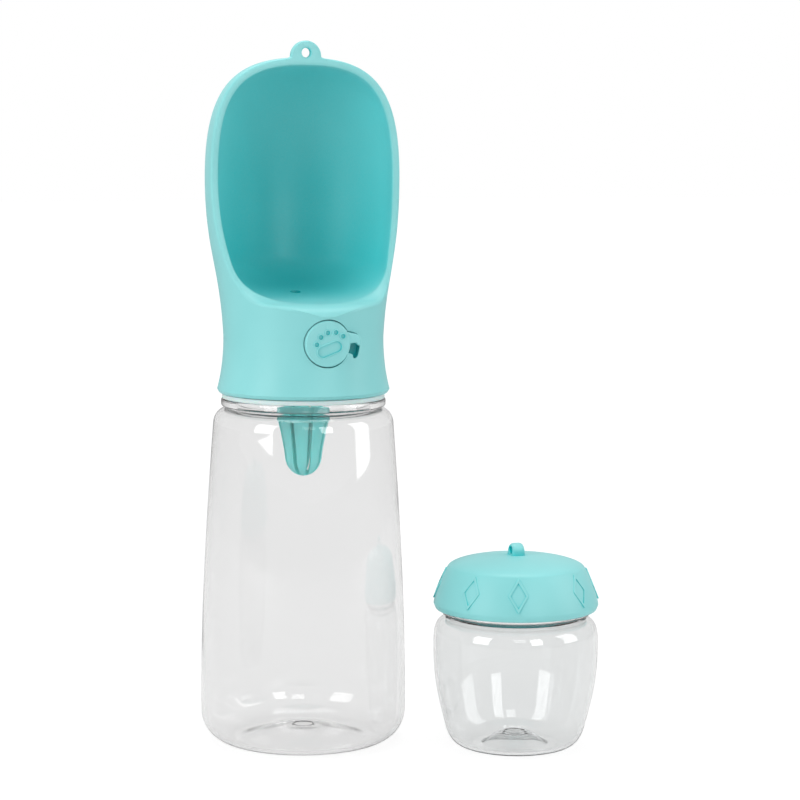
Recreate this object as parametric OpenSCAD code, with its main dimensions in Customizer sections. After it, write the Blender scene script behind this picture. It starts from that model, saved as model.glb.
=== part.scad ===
// Dog travel water bottle with a food jar: a scoop-shaped drinking head screws on a clear
// bottle, and a press button in its front opens a valve between the bottle and the trough.
// The origin is the centre of the bottle's foot, +Z is up, and the button faces -Y.

/* [Bottle] */
// Height of the neck's sealing rim above the foot
bottle_rim_z = 141.6; // [136:0.2:150]
// Largest radius of the bottle, near its foot
bottle_foot_r = 39.2; // [36:0.1:44]
// How far the bottle's shoulder stands out from its neck
shoulder_out = 7.1; // [5:0.1:9]
// Depth from the neck's rim down to the shoulder
shoulder_drop = 19.6; // [18:0.2:24]
// Radius of the rounded edge round the foot
foot_round = 12; // [8:0.5:18]
// Wall of the bottle and of the jar
clear_wall = 1.1; // [0.8:0.1:1.8]
// How far each clear base is pushed up
base_push_up = 4.5; // [3:0.5:7]
// Width of the flat ring that each clear base stands on
foot_flat = 3; // [2:0.5:5]

/* [Neck] */
// Outer radius of the bottle's neck
neck_r = 27.3; // [25:0.1:30]
// Wall of the neck
neck_wall = 1.7; // [1.4:0.1:2.4]
// How far the support ring stands out from the neck
ring_out = 4; // [3:0.1:4.4]
// Thickness of the support ring
ring_t = 3; // [2.5:0.1:4]
// Depth from the neck's rim down to the top of the support ring
ring_drop = 9.3; // [9:0.1:11]
// Thickness of the washer that lies on the support ring
ring_washer_t = 1.8; // [1:0.1:2.4]
// Clear gap between a lower edge that turns and what lies under it
skirt_gap = 0.2; // [0.2:0.05:0.8]

/* [Threads] */
// Rise of the neck thread in one turn
thread_pitch = 3.2; // [3:0.1:3.6]
// How far a thread ridge stands out
thread_h = 1.05; // [0.8:0.05:1.2]
// Width of a thread ridge at its root
thread_w = 1.3; // [1:0.05:1.4]
// Turns in each thread ridge
thread_turns = 1; // [0.75:0.05:1.1]
// Clear radial gap between a ridge and the wall that it faces
thread_gap = 0.5; // [0.4:0.05:0.7]

/* [Head] */
// Height of the head, from the skirt's edge to the top of the scoop
head_h = 126.3; // [120:0.2:132]
// Wall of the skirt, outside its bore
skirt_wall = 3.95; // [3:0.05:5]
// How far the waist is drawn in from the skirt
waist_in = 2.4; // [1.5:0.1:3.5]
// Height of the waist above the skirt's edge
waist_h = 21.7; // [19:0.1:24]
// Wall of the head round the valve
head_wall = 2.8; // [2.2:0.1:3.4]
// Largest half width of the scoop
scoop_r = 37.4; // [35:0.1:41]
// Height of the scoop's widest place above the skirt's edge
scoop_h = 82; // [77:0.2:87]
// How far the scoop's back reaches behind the bottle's axis
scoop_back = 35; // [33:0.1:39]
// Wall of the scoop, at its rim
scoop_wall = 3; // [2.4:0.1:3.4]
// Thickness of the plate between the valve space and the trough, on the axis
floor_t = 3.2; // [2:0.1:4]
// Height over which the trough's floor curves up into its wall
floor_round = 16; // [12:0.5:22]
// Rise of the trough's floor per length from its lip to its back
floor_slope = 0.11; // [0:0.01:0.12]

/* [Head lug] */
// Outer radius of the lug's rounded top
lug_r = 5.9; // [5:0.1:7]
// Radius of the hole through the lug
lug_hole_r = 1.8; // [1.5:0.1:2.4]
// Thickness of the lug
lug_t = 3; // [2.4:0.1:4]
// Height of the lug's centre above the top of the scoop
lug_rise = 0.4; // [0.2:0.1:2]

/* [Button] */
// Radius of the button
button_r = 8.7; // [8:0.1:9]
// Thickness of the button
button_t = 3; // [2.4:0.1:3.4]
// Rounding round the button's face
button_round = 0.7; // [0.3:0.1:1]
// How far the button's face stands out from the waist
button_proud = 0.6; // [0.2:0.1:1.2]
// Height of the button's centre above the neck's rim
button_rise = 13.6; // [13:0.1:15]
// Travel of the button
press_travel = 3; // [2:0.1:3]
// Clear gap round the button in its pocket
button_gap = 0.35; // [0.25:0.05:0.5]
// Thickness of the hook
hook_t = 2.2; // [1.6:0.1:2.4]
// Width of the hook's arm
hook_w = 3; // [2.4:0.1:3.2]
// Radius of the hook's bend, at the middle of its arm
hook_bend = 2.1; // [2.05:0.05:2.6]
// Angle that the button turns through to unlock
unlock_angle = 22; // [15:1:24]
// Depth of the engraved paw print
paw_depth = 0.4; // [0.2:0.05:0.6]
// Angle that the paw's toes are turned by
toe_tilt = 17; // [0:1:45]
// Angle that the paw's pad is tilted by
pad_tilt = 23; // [0:1:45]

/* [Valve] */
// Outer radius of the horizontal barrel
barrel_r = 6.6; // [6.4:0.1:7]
// Radius of the valve stem
stem_r = 2; // [1.8:0.1:2.2]
// Clear radial gap round a part that slides or turns
slide_gap = 0.1; // [0.05:0.01:0.2]
// Radius of the hole in the valve seat
seat_r = 3.6; // [3.4:0.1:3.8]
// Radius of the chamber behind the seat
chamber_r = 5.2; // [5:0.1:5.4]
// Distance from the bottle's axis back to the seat
seat_y = 5; // [4.5:0.1:5.5]
// Thickness of the valve plug
plug_t = 2.4; // [2:0.1:3]
// Radius of the water hole in the trough's floor
outlet_r = 2.2; // [2:0.1:2.6]
// Distance from the valve seat back to the water hole
outlet_back = 5.6; // [5.2:0.1:6]
// Wire thickness of the return spring
wire_d = 0.7; // [0.5:0.05:0.8]
// Turns of the return spring
spring_turns = 5; // [4:1:6]
// Radius of the housing screws
screw_r = 1.2; // [1:0.1:1.4]

/* [Strainer] */
// Radius of the spigot that carries the strainer
spigot_r = 8.4; // [8:0.1:9]
// Depth from the neck's rim down to the spigot's end
spigot_drop = 12.1; // [11:0.1:14]
// Thickness of the strainer's collar outside its bore
collar_wall = 1.5; // [1.1:0.1:2.4]
// Wall of the strainer
strainer_wall = 1.4; // [1.1:0.1:1.4]
// Length of the basket below the collar
basket_len = 24; // [20:0.5:30]
// How far the basket is drawn in from the collar
basket_in = 2.6; // [2:0.1:3.2]
// Number of slots round the basket
slot_count = 8; // [6:2:10]
// Width of a slot
slot_w = 1.3; // [1:0.1:2]

/* [Jar] */
// Distance of the jar's axis to the right of the bottle's axis
jar_x = 73.2; // [72:0.2:110]
// Distance of the jar's axis in front of the bottle's axis
jar_front = 36.6; // [0:0.1:50]
// Height of the jar's sealing rim
jar_rim_z = 62; // [58:0.5:80]
// How far the jar's widest place stands out from its neck
jar_out = 5.9; // [5:0.1:7]
// Outer radius of the jar's neck
jar_neck_r = 25.4; // [24:0.1:27]
// Depth from the jar's rim down to its shoulder
jar_shoulder_drop = 12.4; // [12:0.2:14]
// Radius of the jar's foot ring
jar_foot_r = 16; // [12:0.5:18]

/* [Jar lid] */
// How far the lid's top edge is drawn in from its lower edge
lid_in = 6.3; // [4.5:0.1:7]
// Depth from the jar's rim down to the lid's lower edge
lid_drop = 8.8; // [8.6:0.1:10]
// Height of the lid without its lug
lid_h = 20.6; // [19:0.2:24]
// Height of the lid's lug above its top
lid_lug_h = 4.4; // [4:0.1:7]
// Thickness of the lid's lug
lid_lug_t = 5; // [4:0.1:6]
// Radius of the hole through the lid's lug
lid_lug_hole_r = 1.5; // [1.2:0.1:1.8]
// Width of a diamond grip mark
diamond_w = 7.7; // [6:0.1:9]
// Height of a diamond grip mark
diamond_h = 12.4; // [10:0.1:13]

/* [Hidden] */

$fn = 96;
cut = 1; // how far a cutting shape runs past the face that it cuts
sink = 0.4; // how far a rib or boss is let into the wall that carries it

clear_plastic = [0.88, 0.92, 0.93, 0.45];
pale_teal = [0.56, 0.84, 0.84];
silicone = [0.93, 0.94, 0.93];
steel = [0.75, 0.76, 0.78];

// Heights up the bottle
ring_top_z = bottle_rim_z - ring_drop;
ring_low_z = ring_top_z - ring_t;
shoulder_z = bottle_rim_z - shoulder_drop;
skirt_z = ring_top_z + ring_washer_t + skirt_gap;
gasket_t = 1.4;
gasket_gap = 0.3; // clear gap round a gasket in the bore that holds it
deck_z = bottle_rim_z + gasket_t;
neck_bore_r = neck_r - neck_wall;
bottle_shoulder_r = neck_r + shoulder_out;

// The skirt's bore and the space for the valve above it
thread_crest_r = neck_r + thread_h;
skirt_bore_r = thread_crest_r + thread_gap;
thread_step = 2.2; // from a lower edge up to the start of its thread
neck_thread_z = skirt_z + thread_step;
neck_thread_from = 5; // angle at which the neck's ridge starts
head_thread_from = 115;
head_thread_turns = 0.9;
skirt_r = skirt_bore_r + skirt_wall;
waist_r = skirt_r - waist_in;
deck_lip = 0.7; // how far the deck reaches in past the neck's bore
core_r = neck_bore_r - deck_lip;
deck_t = 2.4;
valve_room_r = waist_r - head_wall;
core_cone_h = 3.6;
core_cone_w = 4.6;
boss_half_w = 12; // half width of the solid block behind the button
boss_socket = 3; // how deep the barrel sits in that block

// The scoop
head_top_z = skirt_z + head_h;
waist_z = skirt_z + waist_h;
scoop_z = skirt_z + scoop_h;
button_z = bottle_rim_z + button_rise;
outlet_rise = 10.2; // from the valve's axis up to the top of its outlet
outlet_seal_t = 1.8;
outlet_wall = 1.9;
outlet_boss_top = button_z + outlet_rise;
core_top_z = outlet_boss_top + outlet_seal_t;
trough_z = core_top_z + floor_t;
lip_front = 14; // how far the trough's hollow runs out past the waist at the lip
lug_back = -0.9; // place of the lug's back face; below zero is in front of the bottle's axis
lug_hole_rise = 1.4;

// Places along the valve's axis, seen from the axis of the bottle
button_face_y = -waist_r - button_proud;
button_back_y = button_face_y + button_t;
press_spare = 0.6; // free depth left behind the button when it is pressed
pocket_y = button_back_y + press_travel + press_spare;
pocket_r = button_r + button_gap;
pocket_floor = 3.2; // wall between the pocket and the end of the barrel
barrel_front_y = pocket_y + pocket_floor;
boss_back_y = barrel_front_y + boss_socket;
end_gap = 0.2; // clear gap between the barrel's end and its socket
spring_room = 10.2;
spring_floor_y = barrel_front_y + spring_room;
collar_y = barrel_front_y + 1.8;
collar_t = 1;
chamber_len = 12.5;
barrel_back_y = seat_y + chamber_len;
outlet_y = seat_y + outlet_back;
seat_bore_len = 8;
stem_groove = [2.6, 1.8, 1.15]; // place behind the spring's floor, length and depth of the O-ring's groove
front_groove = [1, 1.5, 1]; // the same for the barrel's front O-ring, from its end
cap_groove = [0.9, 1.3, 1]; // the same for the end cap's plug
spigot_groove = [1.4, 1.4, 0.95]; // the same for the spigot
cap_plug_len = 3;
cap_t = 1.6;
cap_gap = 0.05;
button_boss_r = 3.2;
boss_gap = 0.25;
spring_r = 3.9;
spring_room_r = 4.7;
washer_t = 0.4;
ear_x = 14;
ear_y = 2;
ear_r = 4;
ear_drop = 5;
ear_z = button_z - ear_drop;
ear_t = 2;
ear_gap = 0.15;
screw_head_t = 1.6;
screw_head_r = 2.3;
screw_len = 10;
screw_slot = [3, 0.5, 0.8]; // length, width and depth of each slot of the cross
screw_gap = 0.05;
screw_boss_r = 3.2;
screw_hole_len = 12;

// The spigot and the strainer
spigot_z = bottle_rim_z - spigot_drop;
spigot_wall = 2;
spigot_mouth = 13;
riser_r = seat_r - 0.2;
collar_bore_r = spigot_r + slide_gap;
collar_r = collar_bore_r + collar_wall;
basket_r = collar_r - basket_in;
collar_over = 4.5; // how far the collar reaches up over the spigot's end
collar_under = 3.3; // how far it reaches below that end
collar_top_z = spigot_z + collar_over;
collar_low_z = spigot_z - collar_under;
basket_low_z = collar_low_z - basket_len;

// The jar, and its lid, whose lower edge is flush with it
jar_r = jar_neck_r + jar_out;
jar_shoulder_z = jar_rim_z - jar_shoulder_drop;
jar_thread_crest_r = jar_neck_r + thread_h;
jar_ring_out = 2.8;
jar_ring_t = 1.6;
lid_bore_r = jar_thread_crest_r + thread_gap;
lid_r = jar_r;
lid_top_r = lid_r - lid_in;
lid_z = jar_rim_z - lid_drop;
liner_t = 1.3;
liner_z = jar_rim_z + liner_t;
liner_rib_h = 2.4;
lid_plate = 3; // thickness of the lid over its hollow
lid_hollow_r = 17;
lid_top_z = lid_z + lid_h;
jar_thread_z = lid_z + thread_step;
jar_thread_from = 5;
lid_thread_from = 40;
lid_thread_turns = 0.9;

// Points along a cubic curve from a to d, in n steps
function curve(a, b, c, d, n) = [for (i = [0:n])
    let (t = i / n, s = 1 - t)
    a * s * s * s + 3 * b * s * s * t + 3 * c * s * t * t + d * t * t * t];

// A list without its first point, to join one curve to the end of another
function tail(points) = [for (i = [1:len(points) - 1]) points[i]];

// Points of a quarter turn from one angle to another
function arc(centre, r, from, to, n) = [for (i = [0:n])
    let (a = from + (to - from) * i / n) centre + r * [cos(a), sin(a)]];

// A profile moved square to itself by d, to its left as it is drawn
function shifted(points, d) = [for (i = [0:len(points) - 1])
    let (p = points[max(i - 1, 0)], q = points[min(i + 1, len(points) - 1)],
        along = (q - p) / norm(q - p))
    points[i] + d * [-along[1], along[0]]];

// A closed solid through a stack of rings that all have as many points
module loft(rings) {
    n = len(rings[0]);
    last = len(rings) - 1;
    points = [for (ring = rings) each ring];
    sides = [for (k = [0:last - 1], i = [0:n - 1])
        let (j = (i + 1) % n)
        [k * n + i, (k + 1) * n + i, (k + 1) * n + j, k * n + j]];
    low = [for (i = [0:n - 1]) i];
    high = [for (i = [n - 1:-1:0]) last * n + i];
    polyhedron(points, concat([low], sides, [high]), convexity = 6);
}

// A helical ridge. root_r is inside the wall that carries it, and crest_r is its top.
// Its line passes base_z at angle 0, and it starts at the angle start
module thread_ridge(root_r, crest_r, base_z, turns, start) {
    steps = 30;
    half_root = thread_w / 2;
    half_crest = thread_w / 4;
    count = round(turns * steps);
    side = sign(crest_r - root_r);
    section = [[root_r, -half_root], [crest_r, -half_crest], [crest_r, half_crest], [root_r, half_root]];
    rings = [for (k = [0:count])
        let (a = start + 360 * k / steps, z = base_z + thread_pitch * a / 360)
        [for (p = section) [p[0] * cos(a), p[0] * sin(a), z + p[1]]]];
    loft(side < 0 ? rings : [for (ring = rings) [ring[3], ring[2], ring[1], ring[0]]]);
}

// A ring of round section about an axis along Z
module o_ring(middle_r, section_r) {
    rotate_extrude() translate([middle_r, 0]) circle(section_r, $fn = 32);
}

// Turns a shape made along Z so that its Z runs back along +Y at the valve's height
module along_valve(y) {
    translate([0, y, button_z]) rotate([-90, 0, 0]) children();
}

// ---- bottle ----

bottle_side = concat(
    arc([bottle_foot_r - foot_round, foot_round], foot_round, -90, 0, 8),
    tail(curve([bottle_foot_r, foot_round], [bottle_foot_r + 0.4, 46],
        [bottle_foot_r - 2.2, shoulder_z - 34], [bottle_shoulder_r, shoulder_z], 14)),
    tail(curve([bottle_shoulder_r, shoulder_z], [bottle_shoulder_r - 0.1, shoulder_z + 4.4],
        [neck_r + 4.6, ring_low_z - 0.8], [neck_r + 0.4, ring_low_z - 0.3], 8)));

module clear_shell(side, neck_outer_r, neck_inner_r, rim_z, ring_low, ring_high, ring_edge_r, push_r) {
    inner = shifted(side, clear_wall);
    last = len(inner) - 1;
    foot_in = push_r - foot_flat;
    base = curve([0, base_push_up], [foot_in * 0.6, base_push_up], [foot_in * 0.85, 0], [foot_in, 0], 8);
    base_inner = [for (p = base) p + [0, clear_wall]];
    edge = (ring_high - ring_low) / 2;
    outline = concat(base, side,
        [[neck_outer_r, ring_low], [ring_edge_r - edge / 2, ring_low], [ring_edge_r, ring_low + edge / 2],
        [ring_edge_r, ring_high - edge / 2], [ring_edge_r - edge / 2, ring_high],
        [neck_outer_r, ring_high], [neck_outer_r, rim_z], [neck_inner_r, rim_z],
        [neck_inner_r, ring_low]],
        [for (i = [last - 1:-1:0]) inner[i]],
        [for (i = [len(base_inner) - 1:-1:0]) base_inner[i]]);
    rotate_extrude() polygon(outline);
}

module bottle() color(clear_plastic) {
    clear_shell(bottle_side, neck_r, neck_bore_r, bottle_rim_z, ring_low_z, ring_top_z,
        neck_r + ring_out, bottle_foot_r - foot_round);
    thread_ridge(neck_r - sink, thread_crest_r, neck_thread_z, thread_turns, neck_thread_from);
}

module ring_washer() color(silicone)
    translate([0, 0, ring_top_z]) difference() {
        cylinder(h = ring_washer_t, r = neck_r + ring_out - sink);
        translate([0, 0, -cut]) cylinder(h = ring_washer_t + 2 * cut, r = skirt_bore_r - gasket_gap);
    }

module neck_gasket() color(silicone)
    translate([0, 0, bottle_rim_z]) difference() {
        cylinder(h = gasket_t, r = skirt_bore_r - gasket_gap);
        translate([0, 0, -cut]) cylinder(h = gasket_t + 2 * cut, r = neck_bore_r);
    }

// ---- head ----

// The skirt's outline, which the head's front and back share
skirt_side = concat(
    [[skirt_r - 0.9, skirt_z]],
    curve([skirt_r, skirt_z + 1.5], [skirt_r - 1.1, skirt_z + 5.5],
        [waist_r - 0.1, waist_z - 9], [waist_r, waist_z], 5));

// Outline of the head seen from the front, from the skirt's edge to the top
head_side = concat(skirt_side,
    tail(curve([waist_r, waist_z], [waist_r + 1.5, waist_z + 28],
        [scoop_r - 0.1, scoop_z - 28.6], [scoop_r, scoop_z], 10)),
    tail(curve([scoop_r, scoop_z], [scoop_r - 0.1, scoop_z + 32.2],
        [scoop_r - 9.6, head_top_z + 0.4], [0.5, head_top_z], 14)));

// The same for the head's back, seen from the side
back_z = scoop_z - 8;
head_back = concat(skirt_side,
    tail(curve([waist_r, waist_z], [waist_r + 0.3, waist_z + 15],
        [scoop_back - 0.6, back_z - 22], [scoop_back, back_z], 8)),
    tail(curve([scoop_back, back_z], [scoop_back + 0.4, back_z + 30],
        [scoop_back - 12, head_top_z + 0.4], [0.5, head_top_z], 14)));

// Outline of the trough's opening seen from the side, from the lip up to the top
rim_low_z = trough_z - 5.9;
rim_side = concat(
    curve([-waist_r - 1.6, rim_low_z], [-waist_r - 0.9, trough_z - 3.2], [-waist_r + 1.9, trough_z - 1.1],
        [-waist_r + 7.4, trough_z - 0.7], 6),
    tail(curve([-waist_r + 7.4, trough_z - 0.7], [-11, trough_z + 0.6], [-5, scoop_z - 26],
        [-4.2, scoop_z - 2], 10)),
    [[-3.9, head_top_z + 2]]);

// Half size of a profile at a height, where r is [radius, height] pairs going up
function size_at(profile, z) = lookup(z, [for (p = profile) [p[1], p[0]]]);

// A ring of the head with its own half width, front depth and back depth
function head_ring(z, half_w, front, back, n, slope = 0) = [for (i = [0:n - 1])
    let (a = 360 * i / n, y = sin(a) * (sin(a) > 0 ? back : front))
    [half_w * cos(a), y, z + slope * y]];

head_facets = 64;

module head_outside() {
    loft([for (p = head_side)
        head_ring(p[1], p[0], p[0], size_at(head_back, p[1]), head_facets)]);
}

// Share of its full size that the trough's section has at height z, over the curved floor
function floor_share(z) = let (u = min((z - trough_z) / floor_round, 1))
    pow(1 - pow(1 - u, 3), 1 / 3);

// The floor slopes down to the lip, and the slope dies out up the wall
module trough_space() {
    inner_side = shifted(head_side, scoop_wall);
    inner_back = shifted(head_back, scoop_wall);
    rise_top = trough_z + 2 * floor_round;
    low = [for (i = [1:8]) trough_z + floor_round * (1 - cos(90 * i / 8))];
    levels = concat([trough_z + 0.05], low,
        [for (p = inner_side) if (p[1] > trough_z + floor_round + 1) p[1]]);
    loft([for (z = levels)
        let (share = floor_share(z), side = size_at(inner_side, z) * share,
            slope = floor_slope * max(1 - (z - trough_z) / (rise_top - trough_z), 0))
        head_ring(z, side, max((waist_r + lip_front) * share, side), size_at(inner_back, z) * share,
            head_facets, slope)]);
}

module front_opening() {
    far = -3 * waist_r;
    rotate([90, 0, 90]) translate([0, 0, -2 * scoop_r]) linear_extrude(4 * scoop_r)
        polygon(concat(rim_side, [[far, head_top_z + 2], [far, rim_low_z]]));
}

// The space inside the skirt, for the neck, and above it, for the valve
module head_core() {
    rotate_extrude() polygon([[0, skirt_z - cut], [skirt_bore_r, skirt_z - cut], [skirt_bore_r, deck_z],
        [core_r, deck_z], [core_r, deck_z + deck_t], [valve_room_r, deck_z + deck_t],
        [valve_room_r, core_top_z - core_cone_h], [valve_room_r - core_cone_w, core_top_z], [0, core_top_z]]);
}

module screw_bosses() {
    for (side = [-1, 1])
        translate([side * ear_x, ear_y, ear_z + ear_t])
            cylinder(h = core_top_z - ear_z - ear_t + sink, r = screw_boss_r);
}

module button_block() {
    translate([-boss_half_w, -valve_room_r - cut, deck_z])
        cube([2 * boss_half_w, valve_room_r + cut + boss_back_y, core_top_z - deck_z + sink]);
}

// The hook seen from the front, widened by gap all round: an arm that starts inside the button
// and bends down beside it
hook_x = button_r + 1.4;
hook_from = 125; // angle at which the hook's arc starts, inside the button
hook_to = -18; // angle at which it ends
module hook_outline(gap) {
    end = hook_to - gap / hook_bend * 180 / PI;
    outer = arc([hook_x, 0], hook_bend + hook_w / 2 + gap, hook_from, end, 14);
    inner = arc([hook_x, 0], hook_bend - hook_w / 2 - gap, end, hook_from, 14);
    polygon(concat(outer, inner));
}

// The recess that the button and its turning hook move in
sweep_steps = 3;
slot_over = 8; // angle that the recess runs on past the hook's arm
module button_pocket() {
    rotate([90, 0, 0]) translate([0, 0, -pocket_y]) linear_extrude(2 * waist_r) union() {
        circle(pocket_r);
        for (k = [0:sweep_steps]) rotate(-unlock_angle * k / sweep_steps) hook_outline(button_gap);
        polygon(concat(arc([0, 0], button_r, -unlock_angle, slot_over, 8),
            arc([0, 0], hook_x + hook_bend, slot_over, -unlock_angle, 8)));
    }
}

lug_flare = 2.4; // how far the lug's foot spreads on each side
lug_foot_h = 1.6; // how deep its foot reaches into the scoop's top

module head_lug() {
    lug_z = head_top_z + lug_rise;
    low_z = head_top_z - lug_foot_h;
    translate([0, lug_back, 0]) rotate([90, 0, 0]) linear_extrude(lug_t)
        polygon(concat(arc([0, lug_z], lug_r, 0, 180, 18), [[-lug_r - lug_flare / 3, head_top_z - 0.3],
            [-lug_r - lug_flare, low_z], [lug_r + lug_flare, low_z],
            [lug_r + lug_flare / 3, head_top_z - 0.3]]));
}

module head_shell() color(pale_teal) {
    difference() {
        union() {
            difference() {
                head_outside();
                trough_space();
                front_opening();
                difference() {
                    head_core();
                    screw_bosses();
                    button_block();
                }
            }
            head_lug();
        }
        translate([0, 0, button_z]) button_pocket();
        along_valve(pocket_y - cut)
            cylinder(h = boss_back_y - pocket_y + 2 * cut, r = button_boss_r + boss_gap);
        along_valve(barrel_front_y - end_gap) cylinder(h = core_r, r = barrel_r + end_gap);
        for (side = [-1, 1])
            translate([side * ear_x, ear_y, ear_z]) cylinder(h = screw_hole_len, r = screw_r + screw_gap);
        translate([0, outlet_y, core_top_z - cut])
            cylinder(h = floor_t + floor_slope * outlet_y + 3 * cut, r = outlet_r);
        translate([0, lug_back + sink, head_top_z + lug_rise + lug_hole_rise]) rotate([90, 0, 0])
            cylinder(h = lug_t + 2 * sink, r = lug_hole_r);
    }
    thread_ridge(skirt_bore_r + sink, neck_r + thread_gap, neck_thread_z - thread_pitch / 2,
        head_thread_turns, head_thread_from);
}

// ---- valve ----

// A groove round a shaft of radius r, cut in from its outside
module groove(shape, r) translate([0, 0, shape[0]]) difference() {
    cylinder(h = shape[1], r = r + cut);
    translate([0, 0, -cut]) cylinder(h = shape[1] + 2 * cut, r = r - shape[2]);
}

module valve_housing() color(pale_teal) difference() {
    union() {
        along_valve(barrel_front_y) cylinder(h = barrel_back_y - barrel_front_y, r = barrel_r);
        translate([0, 0, spigot_z]) cylinder(h = button_z - spigot_z, r = spigot_r);
        translate([0, outlet_y, button_z]) cylinder(h = outlet_rise, r = outlet_r + outlet_wall);
        for (side = [-1, 1])
            translate([side * ear_x, ear_y, ear_z]) cylinder(h = ear_t, r = ear_r);
        translate([-ear_x, ear_y - ear_r, ear_z]) cube([2 * ear_x, 2 * ear_r, ear_t]);
    }
    along_valve(barrel_front_y - cut) cylinder(h = spring_room + cut, r = spring_room_r);
    along_valve(spring_floor_y - cut) cylinder(h = seat_y - spring_floor_y, r = stem_r + slide_gap);
    along_valve(spring_floor_y + stem_groove[0]) cylinder(h = stem_groove[1], r = stem_r + stem_groove[2]);
    along_valve(seat_y - seat_bore_len) cylinder(h = seat_bore_len + cut, r = seat_r);
    along_valve(seat_y) cylinder(h = chamber_len + cut, r = chamber_r);
    along_valve(barrel_front_y) groove(front_groove, barrel_r);
    translate([0, 0, spigot_z - cut]) cylinder(h = spigot_mouth + cut, r = spigot_r - spigot_wall);
    translate([0, 0, spigot_z]) cylinder(h = button_z - spigot_z, r = riser_r);
    translate([0, outlet_y, button_z]) cylinder(h = outlet_rise + cut, r = outlet_r);
    for (side = [-1, 1])
        translate([side * ear_x, ear_y, ear_z - cut]) cylinder(h = ear_t + 2 * cut, r = screw_r + ear_gap);
    translate([0, 0, spigot_z]) groove(spigot_groove, spigot_r);
}

cap_plug_y = barrel_back_y - cap_plug_len;
seal_d = 0.9; // section of the end cap's O-ring
ring_d = 1.1; // section of the barrel's front O-ring
stem_ring_d = 1; // section of the stem's O-ring
strainer_ring_d = 0.96; // section of the spigot's O-ring
groove_gap = 0.03; // clear gap under an O-ring in its groove

module housing_end_cap() color(pale_teal) {
    along_valve(barrel_back_y) cylinder(h = cap_t, r = barrel_r);
    along_valve(cap_plug_y) difference() {
        cylinder(h = cap_plug_len + sink, r = chamber_r - cap_gap);
        groove(cap_groove, chamber_r);
    }
}

module end_cap_seal() color(silicone)
    along_valve(cap_plug_y + cap_groove[0] + cap_groove[1] / 2)
        o_ring(chamber_r - cap_groove[2] + seal_d / 2 + groove_gap, seal_d / 2);

module housing_screws() color(steel) for (side = [-1, 1])
    translate([side * ear_x, ear_y, ear_z]) {
        difference() {
            translate([0, 0, -screw_head_t]) cylinder(h = screw_head_t, r = screw_head_r);
            translate([0, 0, -screw_head_t - cut]) for (turn = [0, 90])
                rotate(turn) translate([-screw_slot[0] / 2, -screw_slot[1] / 2, 0])
                    cube([screw_slot[0], screw_slot[1], screw_slot[2] + cut]);
        }
        cylinder(h = screw_len, r = screw_r);
    }

module housing_o_ring() color(silicone)
    along_valve(barrel_front_y + front_groove[0] + front_groove[1] / 2)
        o_ring(barrel_r - front_groove[2] + ring_d / 2 + groove_gap, ring_d / 2);

module outlet_seal() color(silicone)
    translate([0, outlet_y, outlet_boss_top]) difference() {
        cylinder(h = outlet_seal_t, r = outlet_r + outlet_wall);
        translate([0, 0, -cut]) cylinder(h = outlet_seal_t + 2 * cut, r = outlet_r);
    }

stem_in_button = 1.2; // how deep the stem's end sits in the button
plug_collar_t = 1.2; // thickness of each collar that holds the plug
front_collar_out = 0.8; // how far the collar in front of the plug stands out from the stem
back_collar_out = 1.2; // the same for the one behind it
stem_tail = 0.6; // how far the stem runs past the collars
plug_gap = 0.6; // clear gap round the plug in its chamber
spring_lip = 0.5; // how far the stem's spring collar reaches past the spring

module valve_stem() color(pale_teal) {
    tip_y = button_back_y - stem_in_button;
    along_valve(tip_y) cylinder(h = seat_y + plug_t + plug_collar_t + stem_tail - tip_y, r = stem_r);
    along_valve(collar_y) cylinder(h = collar_t, r = spring_r + spring_lip);
    along_valve(seat_y - plug_collar_t) cylinder(h = plug_collar_t, r = stem_r + front_collar_out);
    along_valve(seat_y + plug_t) cylinder(h = plug_collar_t, r = stem_r + back_collar_out);
}

module valve_plug() color(silicone)
    along_valve(seat_y) difference() {
        cylinder(h = plug_t, r = chamber_r - plug_gap);
        translate([0, 0, -cut]) cylinder(h = plug_t + 2 * cut, r = stem_r + cap_gap);
    }

module stem_o_ring() color(silicone)
    along_valve(spring_floor_y + stem_groove[0] + stem_groove[1] / 2)
        o_ring(stem_r + slide_gap + stem_ring_d / 2, stem_ring_d / 2);

spring_from_y = collar_y + collar_t;
spring_to_y = spring_floor_y - washer_t;
spring_gap = 0.02; // clear gap at each end of the spring
turn_gap = 0.1; // clear gap between a spring's end turn and the next
washer_gap = 0.3; // clear gap between the washer and the stem

// The spring's wire: a closed turn at each end, and spring_turns turns between them
module return_spring() color(steel) {
    steps = 16;
    room = spring_to_y - spring_from_y - wire_d - 2 * spring_gap;
    end_rise = wire_d + turn_gap;
    count = (spring_turns + 1) * steps;
    rings = [for (k = [0:count])
        let (a = 360 * k / steps, turn = k / steps,
            along = turn < 0.5 ? end_rise * turn * 2
                : turn > spring_turns + 0.5 ? room - end_rise * (spring_turns + 1 - turn) * 2
                : end_rise + (room - 2 * end_rise) * (turn - 0.5) / spring_turns)
        [for (i = [0:5])
            let (r = spring_r + wire_d / 2 * cos(60 * i))
            [r * cos(a), r * sin(a), along - wire_d / 2 * sin(60 * i)]]];
    along_valve(spring_from_y + wire_d / 2 + spring_gap) loft(rings);
}

module spring_washer() color(steel)
    along_valve(spring_to_y) difference() {
        cylinder(h = washer_t, r = spring_room_r - slide_gap);
        translate([0, 0, -cut]) cylinder(h = washer_t + 2 * cut, r = stem_r + washer_gap);
    }

// ---- button ----

// Toe and pad places are shares of the button's radius, so that the print fills its face
toe_r = 0.1 * button_r;
pad_r = 0.2 * button_r;
pad_half_len = 0.34 * button_r;
pad_centre = [0.15, -0.24] * button_r;
toe_ring_r = 0.72 * button_r;
toe_step = 29; // angle from one toe to the next
toe_places = [for (k = [-2:2])
    let (a = 90 + toe_tilt + toe_step * k)
    pad_centre + toe_ring_r * [cos(a), sin(a)]];

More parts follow.
